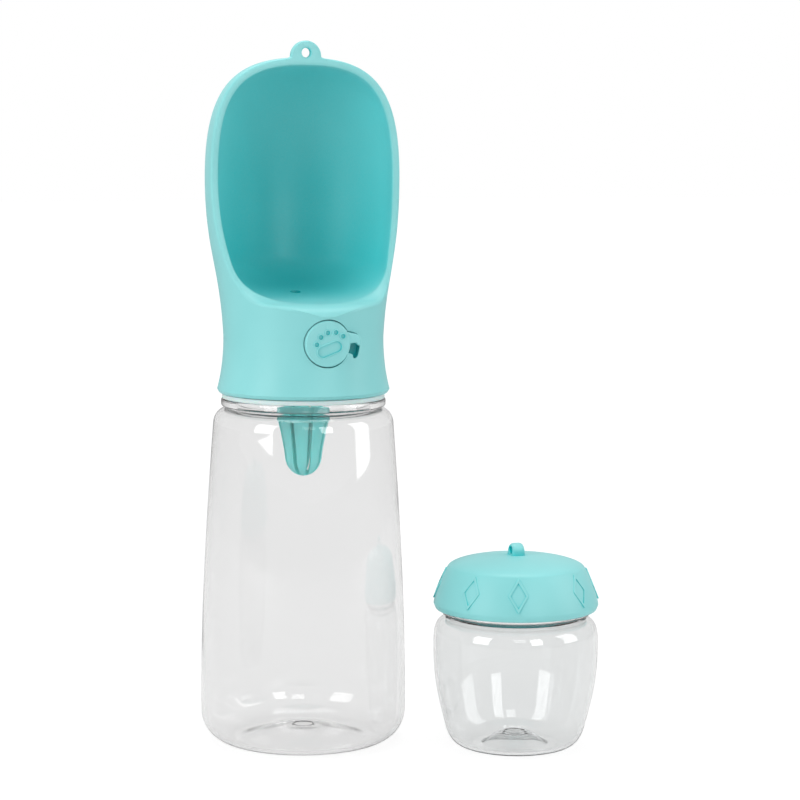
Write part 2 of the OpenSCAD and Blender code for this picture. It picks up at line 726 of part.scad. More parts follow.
module paw_outline() {
    for (p = toe_places) translate(p) circle(toe_r, $fn = 24);
    translate(pad_centre) rotate(pad_tilt) union() {
        for (side = [-1, 1]) translate([side * pad_half_len, 0]) circle(pad_r);
        square([2 * pad_half_len, 2 * pad_r], center = true);
    }
}

hook_set_back = 0.3; // how far the hook's face lies behind the button's
socket_len = 14; // depth of the stem's socket, which runs right through the button's boss

module button() color(pale_teal) difference() {
    union() {
        along_valve(button_face_y) rotate_extrude() polygon(concat(
            [[0, 0]], arc([button_r - button_round, button_round], button_round, -90, 0, 6),
            [[button_r, button_t], [0, button_t]]));
        translate([0, button_face_y + hook_set_back + hook_t, button_z]) rotate([90, 0, 0])
            linear_extrude(hook_t) hook_outline(0);
        along_valve(button_back_y - sink)
            cylinder(h = collar_y - slide_gap - button_back_y + sink, r = button_boss_r);
    }
    translate([0, button_face_y + paw_depth, button_z]) rotate([90, 0, 0])
        linear_extrude(cut + paw_depth) paw_outline();
    along_valve(button_back_y - stem_in_button - slide_gap) cylinder(h = socket_len, r = stem_r + slide_gap);
}

// ---- strainer ----

// The strainer's outer wall, from the middle of its rounded end up to its collar's top
strainer_side = concat(
    curve([0, basket_low_z], [basket_r * 0.55, basket_low_z], [basket_r - 0.2, basket_low_z + 3.4],
        [basket_r, basket_low_z + 8], 8),
    tail(curve([basket_r, basket_low_z + 8], [basket_r + 0.8, basket_low_z + 14],
        [collar_r - 0.6, collar_low_z - 5], [collar_r - 0.4, collar_low_z - 1], 6)),
    [[collar_r, collar_low_z], [collar_r, collar_top_z - 0.8], [collar_r - 0.8, collar_top_z]]);

basket_step = 3.2; // from the collar's lower edge up to its inner step
slot_from = 2.4; // distance from the strainer's axis at which a slot starts
slot_end = 1.2;
notch_t = 0.7; // how far a slot's line cuts into the collar

module strainer() color(pale_teal) {
    basket_top = collar_low_z + basket_step;
    basket_points = [for (p = strainer_side) if (p[1] < collar_low_z) p];
    inside = shifted(basket_points, strainer_wall);
    last = len(inside) - 1;
    outline = concat(strainer_side,
        [[collar_bore_r, collar_top_z], [collar_bore_r, basket_top], [inside[last][0], basket_top]],
        [for (i = [last:-1:1]) inside[i]],
        [[0, basket_low_z + strainer_wall]]);
    difference() {
        rotate_extrude() polygon(outline);
        for (k = [0:slot_count - 1])
            rotate(-90 + 360 * k / slot_count) translate([slot_from, -slot_w / 2, basket_low_z - cut])
                cube([collar_r, slot_w, basket_len - slot_end]);
        for (k = [0:slot_count / 2 - 1])
            rotate(-90 + 720 * k / slot_count) translate([collar_r - notch_t, -slot_w / 2, collar_low_z + cut])
                cube([collar_r, slot_w, collar_top_z - collar_low_z]);
    }
}

module strainer_o_ring() color(silicone)
    translate([0, 0, spigot_z + spigot_groove[0] + spigot_groove[1] / 2])
        o_ring(spigot_r - spigot_groove[2] + strainer_ring_d / 2 + groove_gap, strainer_ring_d / 2);

// ---- jar ----

jar_side = concat(
    curve([jar_foot_r, 0], [jar_foot_r + 7, 0.2], [jar_r - 5.9, 2.6], [jar_r - 4.1, 10.6], 8),
    tail(curve([jar_r - 4.1, 10.6], [jar_r - 1.9, 19], [jar_r, 26], [jar_r, jar_shoulder_z - 10], 6)),
    tail(curve([jar_r, jar_shoulder_z - 10], [jar_r + 0.2, jar_shoulder_z - 2.6],
        [jar_r - 1, jar_shoulder_z - 0.4], [jar_neck_r, jar_shoulder_z + 0.6], 8)));

module at_jar() {
    translate([jar_x, -jar_front, 0]) children();
}

module jar() color(clear_plastic) at_jar() {
    jar_ring_top = lid_z - skirt_gap;
    clear_shell(jar_side, jar_neck_r, jar_neck_r - neck_wall, jar_rim_z,
        jar_ring_top - jar_ring_t, jar_ring_top, jar_neck_r + jar_ring_out, jar_foot_r);
    thread_ridge(jar_neck_r - sink, jar_thread_crest_r, jar_thread_z, thread_turns, jar_thread_from);
}

module jar_seal() color(silicone) at_jar()
    translate([0, 0, jar_rim_z]) difference() {
        cylinder(h = liner_t, r = lid_bore_r - gasket_gap);
        translate([0, 0, -cut]) cylinder(h = liner_t + 2 * cut, r = jar_neck_r - neck_wall);
    }

lid_side = concat(
    [[lid_r - 0.8, lid_z]],
    curve([lid_r, lid_z + 2], [lid_r - 0.5, lid_z + 6], [lid_top_r + 2.8, lid_top_z - 7.4],
        [lid_top_r + 0.9, lid_top_z - 4.6], 8),
    tail(curve([lid_top_r + 0.9, lid_top_z - 4.6], [lid_top_r, lid_top_z - 3],
        [lid_top_r - 7, lid_top_z - 0.4], [0, lid_top_z], 8)));

lid_lug_r = 3.3; // radius of the lug's rounded top
lid_lug_hole_rise = 1.7;

module lid_lug() {
    lug_z = lid_lug_h - lid_lug_r;
    translate([-lid_lug_t / 2, 0, lid_top_z]) rotate([90, 0, 90]) linear_extrude(lid_lug_t) union() {
        translate([0, lug_z]) circle(lid_lug_r);
        translate([-lid_lug_r, -cut]) square([2 * lid_lug_r, lug_z + cut]);
    }
}

diamond_line = 0.9; // width of the raised line
diamond_t = 1.2; // its depth, most of it let into the lid
diamond_rise = 0.3; // how far it stands out from the lid
diamond_first = -143; // angle of the first mark
diamond_step = 37; // angle between the two marks of a pair

// A raised diamond outline on the lid's sloping side, leaning with the slope
module diamond_mark(angle) {
    mark_z = lid_z + lid_h / 2 - 0.6;
    lean = atan2(size_at(lid_side, mark_z - diamond_h / 2) - size_at(lid_side, mark_z + diamond_h / 2), diamond_h);
    rotate(angle) translate([size_at(lid_side, mark_z) + diamond_rise - diamond_t + cut, 0, mark_z])
        rotate([0, 90 - lean, 0]) translate([0, 0, -cut]) linear_extrude(diamond_t) difference() {
            polygon([[-diamond_h / 2, 0], [0, diamond_w / 2], [diamond_h / 2, 0], [0, -diamond_w / 2]]);
            polygon([[-diamond_h / 2 + 1.8 * diamond_line, 0], [0, diamond_w / 2 - 1.1 * diamond_line],
                [diamond_h / 2 - 1.8 * diamond_line, 0], [0, -diamond_w / 2 + 1.1 * diamond_line]]);
        }
}

// The eight marks stand in pairs: two near each other, then a wider step
module jar_lid() color(pale_teal) at_jar() difference() {
    union() {
        difference() {
            rotate_extrude() polygon(concat(lid_side, [[0, lid_z]]));
            translate([0, 0, lid_z - cut]) cylinder(h = liner_z - lid_z + cut, r = lid_bore_r);
            translate([0, 0, liner_z - cut]) cylinder(h = liner_rib_h + cut, r = jar_neck_r - neck_wall);
            translate([0, 0, liner_z]) cylinder(h = lid_top_z - liner_z - lid_plate, r = lid_hollow_r);
        }
        lid_lug();
        for (k = [0:3], j = [0, 1]) diamond_mark(diamond_first + 90 * k + diamond_step * j);
        thread_ridge(lid_bore_r + sink, jar_neck_r + thread_gap, jar_thread_z - thread_pitch / 2,
            lid_thread_turns, lid_thread_from);
    }
    translate([-lid_lug_t / 2 - cut, 0, lid_top_z + lid_lug_hole_rise]) rotate([0, 90, 0])
        cylinder(h = lid_lug_t + 2 * cut, r = lid_lug_hole_r);
}

bottle();
ring_washer();
neck_gasket();
head_shell();
valve_housing();
housing_end_cap();
end_cap_seal();
housing_screws();
housing_o_ring();
outlet_seal();
valve_stem();
valve_plug();
stem_o_ring();
return_spring();
spring_washer();
button();
strainer();
strainer_o_ring();
jar();
jar_seal();
jar_lid();
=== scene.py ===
import bisect
import math

import bmesh
import bpy
from mathutils import Euler, Matrix, Vector


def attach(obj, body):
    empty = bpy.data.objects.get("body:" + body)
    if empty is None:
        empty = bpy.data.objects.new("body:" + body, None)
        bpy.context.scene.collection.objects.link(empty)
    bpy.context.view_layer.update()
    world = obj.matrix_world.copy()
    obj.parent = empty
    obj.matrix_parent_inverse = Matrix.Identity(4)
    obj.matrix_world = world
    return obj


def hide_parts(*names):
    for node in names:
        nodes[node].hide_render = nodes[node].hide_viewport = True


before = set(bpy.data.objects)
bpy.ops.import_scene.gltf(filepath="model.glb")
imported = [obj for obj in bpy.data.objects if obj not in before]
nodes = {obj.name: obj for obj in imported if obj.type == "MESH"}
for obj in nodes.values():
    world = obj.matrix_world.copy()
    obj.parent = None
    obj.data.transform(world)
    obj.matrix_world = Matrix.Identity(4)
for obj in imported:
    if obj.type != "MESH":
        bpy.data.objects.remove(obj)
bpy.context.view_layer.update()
print("stage: frame loaded")

mm = 0.001       # sizes and places below are in millimetres, unless a note says otherwise


def hexColour(code):
    # an sRGB hex value as a linear colour
    parts = [int(code[i:i + 2], 16) / 255 for i in (1, 3, 5)]
    return tuple(c / 12.92 if c <= 0.04045 else ((c + 0.055) / 1.055) ** 2.4 for c in parts) + (1.0,)


def addNode(tree, kind, links=None, inputs=None, **settings):
    # links: input name or number -> socket that feeds it; inputs: input name or number -> value
    node = tree.nodes.new(kind)
    for key, value in settings.items():
        setattr(node, key, value)
    for key, value in (inputs or {}).items():
        node.inputs[key].default_value = value
    for key, socket in (links or {}).items():
        tree.links.new(socket, node.inputs[key])
    return node


def cubic(a, b, c, d, steps):
    # points on the curve from a to d that b and c steer
    points = []
    for i in range(steps + 1):
        t = i / steps
        s = 1 - t
        points.append(tuple(s ** 3 * p + 3 * s * s * t * q + 3 * s * t * t * r + t ** 3 * u
                            for p, q, r, u in zip(a, b, c, d)))
    return points


def arcPoints(centre, radius, start, end, steps):
    # points on an arc, from one angle to another in degrees
    angles = [math.radians(start + (end - start) * i / steps) for i in range(steps + 1)]
    return [(centre[0] + radius * math.cos(a), centre[1] + radius * math.sin(a)) for a in angles]


def shifted(points, distance):
    # moves an outline square to itself, to the left of the way it is drawn
    moved = []
    for i, (x, y) in enumerate(points):
        p, q = points[max(i - 1, 0)], points[min(i + 1, len(points) - 1)]
        length = math.hypot(q[0] - p[0], q[1] - p[1])
        moved.append((x - distance * (q[1] - p[1]) / length, y + distance * (q[0] - p[0]) / length))
    return moved


def along(points, number):
    # the point that is that many steps along an outline
    i = min(max(int(number), 0), len(points) - 2)
    return [a + (b - a) * (number - i) for a, b in zip(points[i], points[i + 1])]


def radiusFinder(points):
    # gives the radius at a height, from an outline of (radius, height) points that climbs
    climb = [points[0]]
    for p in points[1:]:
        if p[1] > climb[-1][1]:
            climb.append(p)
    climb.append((0.0, climb[-1][1] + 0.01))
    heights = [p[1] for p in climb]

    def find(height):
        i = min(max(bisect.bisect(heights, height), 1), len(climb) - 1)
        (r0, z0), (r1, z1) = climb[i - 1], climb[i]
        return r0 + (r1 - r0) * min(max((height - z0) / (z1 - z0), 0), 1)
    return find


def evenly(points, count):
    # the same outline with evenly spaced points
    lengths = [0.0]
    for p, q in zip(points, points[1:]):
        lengths.append(lengths[-1] + math.dist(p, q))
    result, k = [], 0
    for i in range(count + 1):
        want = lengths[-1] * i / count
        while k < len(points) - 2 and lengths[k + 1] < want:
            k += 1
        share = (want - lengths[k]) / max(lengths[k + 1] - lengths[k], 1e-9)
        result.append(tuple(a + (b - a) * share for a, b in zip(points[k], points[k + 1])))
    return result


def rounded(outline, radius, steps=4):
    # rounds each corner of an open outline by about radius
    result = [outline[0]]
    for p, q, r in zip(outline, outline[1:], outline[2:]):
        a, b, c = Vector(p), Vector(q), Vector(r)
        inLen, outLen = (a - b).length, (c - b).length
        if (b - a).angle(c - b, 0) < math.radians(12):
            result.append(q)
            continue
        cut = min(radius, inLen * 0.45, outLen * 0.45)
        start, end = b + (a - b).normalized() * cut, b + (c - b).normalized() * cut
        for i in range(steps + 1):
            t = i / steps
            result.append(tuple(start * (1 - t) ** 2 + b * 2 * t * (1 - t) + end * t * t))
    result.append(outline[-1])
    return result


def makeObject(name, verts, faces, creaseAngle=32):
    # a mesh object at the origin, from points in mm
    mesh = bpy.data.meshes.new(name)
    mesh.from_pydata([tuple(c * mm for c in v) for v in verts], [], faces)
    piece = bpy.data.objects.new(name, mesh)
    bpy.context.scene.collection.objects.link(piece)
    tidyMesh(piece, creaseAngle)
    return piece


def tidyMesh(piece, creaseAngle=32):
    # welds doubled points, turns faces outwards, and shades smooth up to the crease angle
    work = bmesh.new()
    work.from_mesh(piece.data)
    bmesh.ops.remove_doubles(work, verts=work.verts, dist=1e-7)      # metres
    bmesh.ops.recalc_face_normals(work, faces=work.faces)
    for edge in work.edges:
        edge.smooth = edge.calc_face_angle(0) < math.radians(creaseAngle)
    for face in work.faces:
        face.smooth = True
    work.to_mesh(piece.data)
    work.free()
    piece.data.update()


def lathe(name, outline, segments, centre=(0, 0)):
    # turns an outline of (radius, height) points, which starts and ends on the axis, round that axis
    verts, faces = [], []
    for r, z in outline:
        for k in range(segments):
            a = 2 * math.pi * k / segments
            verts.append((centre[0] + r * math.cos(a), centre[1] + r * math.sin(a), z))
    for i in range(len(outline) - 1):
        for k in range(segments):
            j = (k + 1) % segments
            low, high = i * segments, (i + 1) * segments
            faces.append((low + k, low + j, high + j, high + k))
    return makeObject(name, verts, faces)


def latheRing(name, outline, segments):
    # the same for a closed outline that stays clear of the axis
    return lathe(name, outline + outline[:1], segments)


def extrudeOutline(name, outline, toPoint, depth):
    # a slab between an outline and its copy; toPoint places (x, y, height)
    count = len(outline)
    verts = [toPoint(x, y, 0) for x, y in outline] + [toPoint(x, y, depth) for x, y in outline]
    faces = [tuple(range(count)), tuple(range(2 * count - 1, count - 1, -1))]
    faces += [(i, (i + 1) % count, count + (i + 1) % count, count + i) for i in range(count)]
    return makeObject(name, verts, faces)


def drawnIn(outline, distance):
    # a closed outline, drawn anticlockwise, moved in on all sides
    return shifted([outline[-1]] + outline + outline[:1], distance)[1:-1]


def roundedSlab(name, outline, toPoint, depth, soft, steps=4):
    # a slab with both of its rims rounded; toPoint places (x, y, height)
    turns = [math.radians(90 * i / steps) for i in range(steps + 1)]
    layers = [(soft * (1 - math.sin(a)), soft * (1 - math.cos(a))) for a in turns]
    layers += [(inset, depth - level) for inset, level in reversed(layers)]
    count = len(outline)
    verts = [toPoint(x, y, level) for inset, level in layers for x, y in drawnIn(outline, inset)]
    faces = [tuple(range(count)), tuple(reversed(range(len(verts) - count, len(verts))))]
    for k in range(len(layers) - 1):
        low, high = k * count, (k + 1) * count
        faces += [(low + i, low + (i + 1) % count, high + (i + 1) % count, high + i) for i in range(count)]
    return makeObject(name, verts, faces)


def flaredHole(name, radius, soft, depth, steps=5, segments=48):
    # a tool along Z from 0 that cuts a round hole through a slab of that depth, and rounds both its rims
    turns = [math.radians(90 * i / steps) for i in range(steps + 1)]
    low = [(radius + soft * (1 - math.sin(a)), soft * (1 - math.cos(a))) for a in turns]
    high = [(r, depth - z) for r, z in reversed(low)]
    wide = radius + soft
    ends = [(0, -1), (wide, -1)], [(wide, depth + 1), (0, depth + 1)]
    return lathe(name, ends[0] + low + high + ends[1], segments)


def combine(piece, tool, operation):
    # adds the tool to a piece or cuts it out, and removes the tool
    modifier = piece.modifiers.new("combine", "BOOLEAN")
    modifier.operation = operation
    modifier.object = tool
    modifier.solver = "EXACT"
    applyModifiers(piece)
    bpy.data.objects.remove(tool)


def applyModifiers(piece):
    # the object keeps what its modifiers make, as a plain mesh
    bpy.context.view_layer.update()
    evaluated = piece.evaluated_get(bpy.context.evaluated_depsgraph_get())
    mesh = bpy.data.meshes.new_from_object(evaluated)
    piece.modifiers.clear()
    old = piece.data
    piece.data = mesh
    bpy.data.meshes.remove(old)


def finishPiece(piece, body, material, cadNode):
    # dresses a piece and has it ride on a body in the place of a CAD node
    piece.data.materials.clear()
    piece.data.materials.append(material)
    for face in piece.data.polygons:
        face.material_index = 0
    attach(piece, body)
    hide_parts(cadNode)
    print("made", piece.name, len(piece.data.polygons), "faces")


view = {
    "azimuth": -19.4,        # degrees round from the head's front
    "distance": 1000.0,      # mm, level distance from the bottle's axis
    "height": 240.0,         # mm above the floor
    "pitch": 6.2,            # degrees down
    "roll": 0.26,            # degrees that the picture leans to the right
    "sideways": 36.8,        # mm from the bottle's axis to the middle of the picture
    "lens": 118.8,           # mm, on a 36 mm sensor
}
# places, targets and sizes as the camera sees them: right, forward and up; powers in watts
lamps = {
    "leftBox": {"place": (-640, -560, 420), "target": (0, 0, 150), "size": (420, 620), "power": 3.7},
    "rightBox": {"place": (800, -120, 380), "target": (30, 0, 120), "size": (360, 620), "power": 2.2},
    "frontBox": {"place": (160, -1000, 640), "target": (0, 0, 190), "size": (300, 420), "power": 1.4,
                 "glints": False},       # a fill that leaves no glint of its own
    "windowBox": {"place": (480, -770, 400), "target": (0, 0, 150), "size": (260, 500), "power": 2.0,
                  "lights": False},      # a window that only shows as a glint
    "topBox": {"place": (0, 60, 950), "target": (20, 0, 0), "size": (600, 500), "power": 4.4},
}
studio = {
    "light": 0.34,           # strength of the world on matt surfaces
    "mirrored": 0.6,         # what glossy surfaces mirror of it
    "floorReach": 6.0,       # metres from the middle to the floor's edge
    "floorMatt": 0.86,       # how much light the floor gives back to the object
    "floorShade": 0.14,      # share of the floor's white that takes a shadow
    "floorGlow": 0.92,       # the rest of it near the bottle; it rises to 1 between the next two distances
    "glowFrom": 0.12, "glowTo": 0.6,     # metres from the middle
}
white = (1, 1, 1, 1)

azimuth = math.radians(view["azimuth"])
forward = Vector((-math.sin(azimuth), math.cos(azimuth), 0))
rightward = Vector((math.cos(azimuth), math.sin(azimuth), 0))


def fromCamera(right, ahead, up):
    # a place, from the bottle's foot, as the camera sees it
    return (rightward * right + forward * ahead + Vector((0, 0, up))) * mm


cameraData = bpy.data.cameras.new("camera")
cameraData.lens = view["lens"]
cameraData.sensor_width = 36
cameraData.clip_end = 50         # metres
camera = bpy.data.objects.new("camera", cameraData)
camera.location = fromCamera(view["sideways"], -view["distance"], view["height"])
turned = Euler((math.radians(90 - view["pitch"]), 0, azimuth)).to_matrix()
camera.rotation_euler = (turned @ Matrix.Rotation(math.radians(view["roll"]), 3, "Z")).to_euler()
bpy.context.scene.collection.objects.link(camera)
bpy.context.scene.camera = camera
bpy.context.scene.view_settings.view_transform = "Standard"


def areaLight(name, place, target, size, power, glints=True, lights=True):
    data = bpy.data.lights.new(name, "AREA")
    data.shape = "RECTANGLE"
    data.size, data.size_y = size[0] * mm, size[1] * mm
    data.energy = power
    lamp = bpy.data.objects.new(name, data)
    lamp.location = fromCamera(*place)
    lamp.rotation_euler = (fromCamera(*target) - fromCamera(*place)).to_track_quat("-Z", "Y").to_euler()
    lamp.visible_glossy = glints
    lamp.visible_diffuse = lights
    bpy.context.scene.collection.objects.link(lamp)


for lampName, lampValues in lamps.items():
    areaLight(lampName, **lampValues)


def lightPath(tree):
    # the light path node, and 1 on rays that the camera sees, straight or through clear plastic
    paths = addNode(tree, "ShaderNodeLightPath")
    rays = {0: paths.outputs["Is Camera Ray"], 1: paths.outputs["Is Transmission Ray"]}
    seen = addNode(tree, "ShaderNodeMath", rays, operation="MAXIMUM")
    return paths, seen.outputs[0]


world = bpy.data.worlds.new("studio")
world.use_nodes = True
bpy.context.scene.world = world
tree = world.node_tree
tree.nodes.clear()
paths, seen = lightPath(tree)
lit = addNode(tree, "ShaderNodeBackground", inputs={"Color": white, "Strength": studio["light"]})
mirrored = addNode(tree, "ShaderNodeBackground", inputs={"Color": white, "Strength": studio["mirrored"]})
backdrop = addNode(tree, "ShaderNodeBackground", inputs={"Color": white, "Strength": 1.0})
first = addNode(tree, "ShaderNodeMixShader",
                {0: paths.outputs["Is Glossy Ray"], 1: lit.outputs[0], 2: mirrored.outputs[0]})
second = addNode(tree, "ShaderNodeMixShader", {0: seen, 1: first.outputs[0], 2: backdrop.outputs[0]})
addNode(tree, "ShaderNodeOutputWorld", {"Surface": second.outputs[0]})

floorMesh = bpy.data.meshes.new("floor")
reach = studio["floorReach"]
corners = [(-reach, -reach, 0), (reach, -reach, 0), (reach, reach, 0), (-reach, reach, 0)]
floorMesh.from_pydata(corners, [], [(0, 1, 2, 3)])
floor = bpy.data.objects.new("floor", floorMesh)
bpy.context.scene.collection.objects.link(floor)
paper = bpy.data.materials.new("whitePaperSweep")
paper.use_nodes = True
tree = paper.node_tree
tree.nodes.clear()
paths, seen = lightPath(tree)
matt = addNode(tree, "ShaderNodeBsdfDiffuse", inputs={"Color": (studio["floorMatt"],) * 3 + (1,)})
thin = addNode(tree, "ShaderNodeBsdfDiffuse", inputs={"Color": (studio["floorShade"],) * 3 + (1,)})
place = addNode(tree, "ShaderNodeTexCoord").outputs["Object"]
fromMiddle = addNode(tree, "ShaderNodeVectorMath", {0: place}, operation="LENGTH")
fade = addNode(tree, "ShaderNodeMapRange", {"Value": fromMiddle.outputs["Value"]},
               {"From Min": studio["glowFrom"], "From Max": studio["glowTo"],
                "To Min": studio["floorGlow"], "To Max": 1.0})
glow = addNode(tree, "ShaderNodeEmission", {"Strength": fade.outputs[0]}, {"Color": white})
pale = addNode(tree, "ShaderNodeAddShader", {0: thin.outputs[0], 1: glow.outputs[0]})
sweep = addNode(tree, "ShaderNodeMixShader", {0: seen, 1: matt.outputs[0], 2: pale.outputs[0]})
addNode(tree, "ShaderNodeOutputMaterial", {"Surface": sweep.outputs[0]})
floorMesh.materials.append(paper)
print("stage: camera, light and floor")


def startMaterial(name):
    material = bpy.data.materials.new(name)
    material.use_nodes = True
    material.node_tree.nodes.clear()
    return material, material.node_tree


moulding = {
    "cloud": 45.0,           # mm, patches of slightly paler tone
    "spark": 0.6,            # mm, grain of the spark-eroded mould, drawn coarser so that it shows
    "grainDepth": 0.03,      # mm
    "between": 60.0,         # mm, how near a facing wall brings on the painted shade
    "open": 0.9, "shut": 0.4,        # openness at which the painted shade begins, and at which it is full
    "lightDepth": 3.0,       # mm that light travels inside the strainer's plastic
}
blowing = {"ripple": 30.0, "rippleDepth": 0.4, "roughness": 0.02}        # mm, mm and plain
siliconeDust = 1.5           # mm, patches of duller silicone
steelGrain = 0.4             # mm, drawn coarser than it is so that it shows


def mouldedPolypropylene(name, base, pale, paintedShadeColour, roughness, clearness=0.0):
    # injection-moulded polypropylene: satin skin, a faint cloudy tone and a very fine spark texture, with
    # painted shade: a deeper tone painted between facing walls from ambient occlusion, in the trough and
    # grooves
    material, tree = startMaterial(name)
    place = addNode(tree, "ShaderNodeTexCoord").outputs["Object"]
    cloud = addNode(tree, "ShaderNodeTexNoise", {"Vector": place},
                    {"Scale": 1 / (moulding["cloud"] * mm), "Detail": 2.0, "Roughness": 0.5})
    tone = addNode(tree, "ShaderNodeMapRange", {"Value": cloud.outputs["Fac"]},
                   {"From Min": 0.3, "From Max": 0.7, "To Min": 0.0, "To Max": 1.0})
    colour = addNode(tree, "ShaderNodeMix", {"Factor": tone.outputs[0]}, data_type="RGBA")
    colour.inputs["A"].default_value = hexColour(base)
    colour.inputs["B"].default_value = hexColour(pale)
    # painted shade: ambient occlusion mixes the deep colour in where walls face each other
    openness = addNode(tree, "ShaderNodeAmbientOcclusion", inputs={"Distance": moulding["between"] * mm},
                       samples=8, only_local=True)
    between = addNode(tree, "ShaderNodeMapRange", {"Value": openness.outputs["AO"]},
                      {"From Min": moulding["shut"], "From Max": moulding["open"],
                       "To Min": 1.0, "To Max": 0.0})
    withPaintedShade = addNode(tree, "ShaderNodeMix", {"Factor": between.outputs[0], "A": colour.outputs["Result"]},
                     data_type="RGBA")
    withPaintedShade.inputs["B"].default_value = hexColour(paintedShadeColour)
    spark = addNode(tree, "ShaderNodeTexNoise", {"Vector": place},
                    {"Scale": 1 / (moulding["spark"] * mm), "Detail": 1.0})
    gloss = addNode(tree, "ShaderNodeMapRange", {"Value": spark.outputs["Fac"]},
                    {"To Min": roughness - 0.04, "To Max": roughness + 0.04})
    bump = addNode(tree, "ShaderNodeBump", {"Height": spark.outputs["Fac"]},
                   {"Strength": 0.25, "Distance": moulding["grainDepth"] * mm})
    shader = addNode(tree, "ShaderNodeBsdfPrincipled",
                     {"Base Color": withPaintedShade.outputs["Result"], "Roughness": gloss.outputs[0],
                      "Normal": bump.outputs[0]},
                     {"IOR": 1.49, "Specular IOR Level": 0.34, "Sheen Weight": 0.12, "Sheen Roughness": 0.4,
                      "Subsurface Weight": clearness, "Subsurface Radius": (0.3, 1.0, 1.0),
                      "Subsurface Scale": moulding["lightDepth"] * mm})
    addNode(tree, "ShaderNodeOutputMaterial", {"Surface": shader.outputs[0]})
    return material


def blownPet(name, tint):
    # blow-moulded PET: clear, high gloss, with the slow ripple of a blown wall
    material, tree = startMaterial(name)
    place = addNode(tree, "ShaderNodeTexCoord").outputs["Object"]
    ripple = addNode(tree, "ShaderNodeTexNoise", {"Vector": place},
                     {"Scale": 1 / (blowing["ripple"] * mm), "Detail": 1.0})
    bump = addNode(tree, "ShaderNodeBump", {"Height": ripple.outputs["Fac"]},
                   {"Strength": 0.3, "Distance": blowing["rippleDepth"] * mm})
    shader = addNode(tree, "ShaderNodeBsdfPrincipled", {"Normal": bump.outputs[0]},
                     {"Base Color": hexColour(tint), "Roughness": blowing["roughness"], "IOR": 1.5,
                      "Transmission Weight": 1.0})
    addNode(tree, "ShaderNodeOutputMaterial", {"Surface": shader.outputs[0]})
    return material


def castSilicone(name, base):
    # compression-moulded silicone rubber: milky, and soft where light enters it
    material, tree = startMaterial(name)
    place = addNode(tree, "ShaderNodeTexCoord").outputs["Object"]
    dusty = addNode(tree, "ShaderNodeTexNoise", {"Vector": place},
                    {"Scale": 1 / (siliconeDust * mm), "Detail": 2.0})
    gloss = addNode(tree, "ShaderNodeMapRange", {"Value": dusty.outputs["Fac"]},
                    {"To Min": 0.45, "To Max": 0.65})
    shader = addNode(tree, "ShaderNodeBsdfPrincipled", {"Roughness": gloss.outputs[0]},
                     {"Base Color": hexColour(base), "IOR": 1.41, "Subsurface Weight": 0.2,
                      "Subsurface Scale": 1.0 * mm})
    addNode(tree, "ShaderNodeOutputMaterial", {"Surface": shader.outputs[0]})
    return material


def drawnSteel(name, base):
    # drawn and turned stainless steel: bright, with fine grain from the die and the tool
    material, tree = startMaterial(name)
    place = addNode(tree, "ShaderNodeTexCoord").outputs["Object"]
    grain = addNode(tree, "ShaderNodeTexNoise", {"Vector": place},
                    {"Scale": 1 / (steelGrain * mm), "Detail": 1.0})
    gloss = addNode(tree, "ShaderNodeMapRange", {"Value": grain.outputs["Fac"]},
                    {"To Min": 0.22, "To Max": 0.38})
    shader = addNode(tree, "ShaderNodeBsdfPrincipled", {"Roughness": gloss.outputs[0]},
                     {"Base Color": hexColour(base), "Metallic": 1.0})
    addNode(tree, "ShaderNodeOutputMaterial", {"Surface": shader.outputs[0]})
    return material


# base, paler patches and the painted shade's deeper tone between walls, then roughness and share of light
# let in
tealPlastic = mouldedPolypropylene("mouldedPolypropyleneTeal", "#84CFD0", "#8ED7D8", "#10C8CC", 0.42)
strainerPlastic = mouldedPolypropylene("mouldedPolypropyleneDeepTeal", "#86FAF4", "#8EFCF8", "#74F2EC",
                                       0.4, 0.5)
clearPet = blownPet("blownPetClear", "#EFEFEF")
thickPet = blownPet("blownPetThick", "#ECEDED")
silicone = castSilicone("castSiliconeMilky", "#E4ECEA")
tealSilicone = castSilicone("castSiliconePaleTeal", "#D2E2E2")
steel = drawnSteel("drawnStainlessSteel", "#C6C7CA")
cadFinish = {
    "valve_housing": tealPlastic, "housing_end_cap": tealPlastic, "valve_stem": tealPlastic,
    "neck_gasket": silicone, "end_cap_seal": silicone, "housing_o_ring": silicone, "outlet_seal": silicone,
    "valve_plug": silicone, "stem_o_ring": silicone, "strainer_o_ring": silicone, "jar_seal": silicone,
    "housing_screws": steel, "return_spring": steel, "spring_washer": steel,
}
for nodeName, material in cadFinish.items():
    nodes[nodeName].data.materials.clear()
    nodes[nodeName].data.materials.append(material)
print("stage: materials")


def startGroup(name, sockets):
    # a node group with these named inputs, and its input sockets
    group = bpy.data.node_groups.new(name, "GeometryNodeTree")
    for label, kind in sockets.items():
        group.interface.new_socket(label, in_out="INPUT", socket_type="NodeSocket" + kind)
    group.interface.new_socket("Geometry", in_out="OUTPUT", socket_type="NodeSocketGeometry")
    return group, group.nodes.new("NodeGroupInput").outputs


def runGroup(name, group, values):
    # an object whose plain mesh is what the group makes from these values
    mesh = bpy.data.meshes.new(name)
    holder = bpy.data.objects.new(name, mesh)
    bpy.context.scene.collection.objects.link(holder)
    modifier = holder.modifiers.new("nodes", "NODES")
    modifier.node_group = group
    for item in group.interface.items_tree:
        if item.in_out == "INPUT":
            modifier[item.identifier] = values[item.name]
    applyModifiers(holder)
    return holder


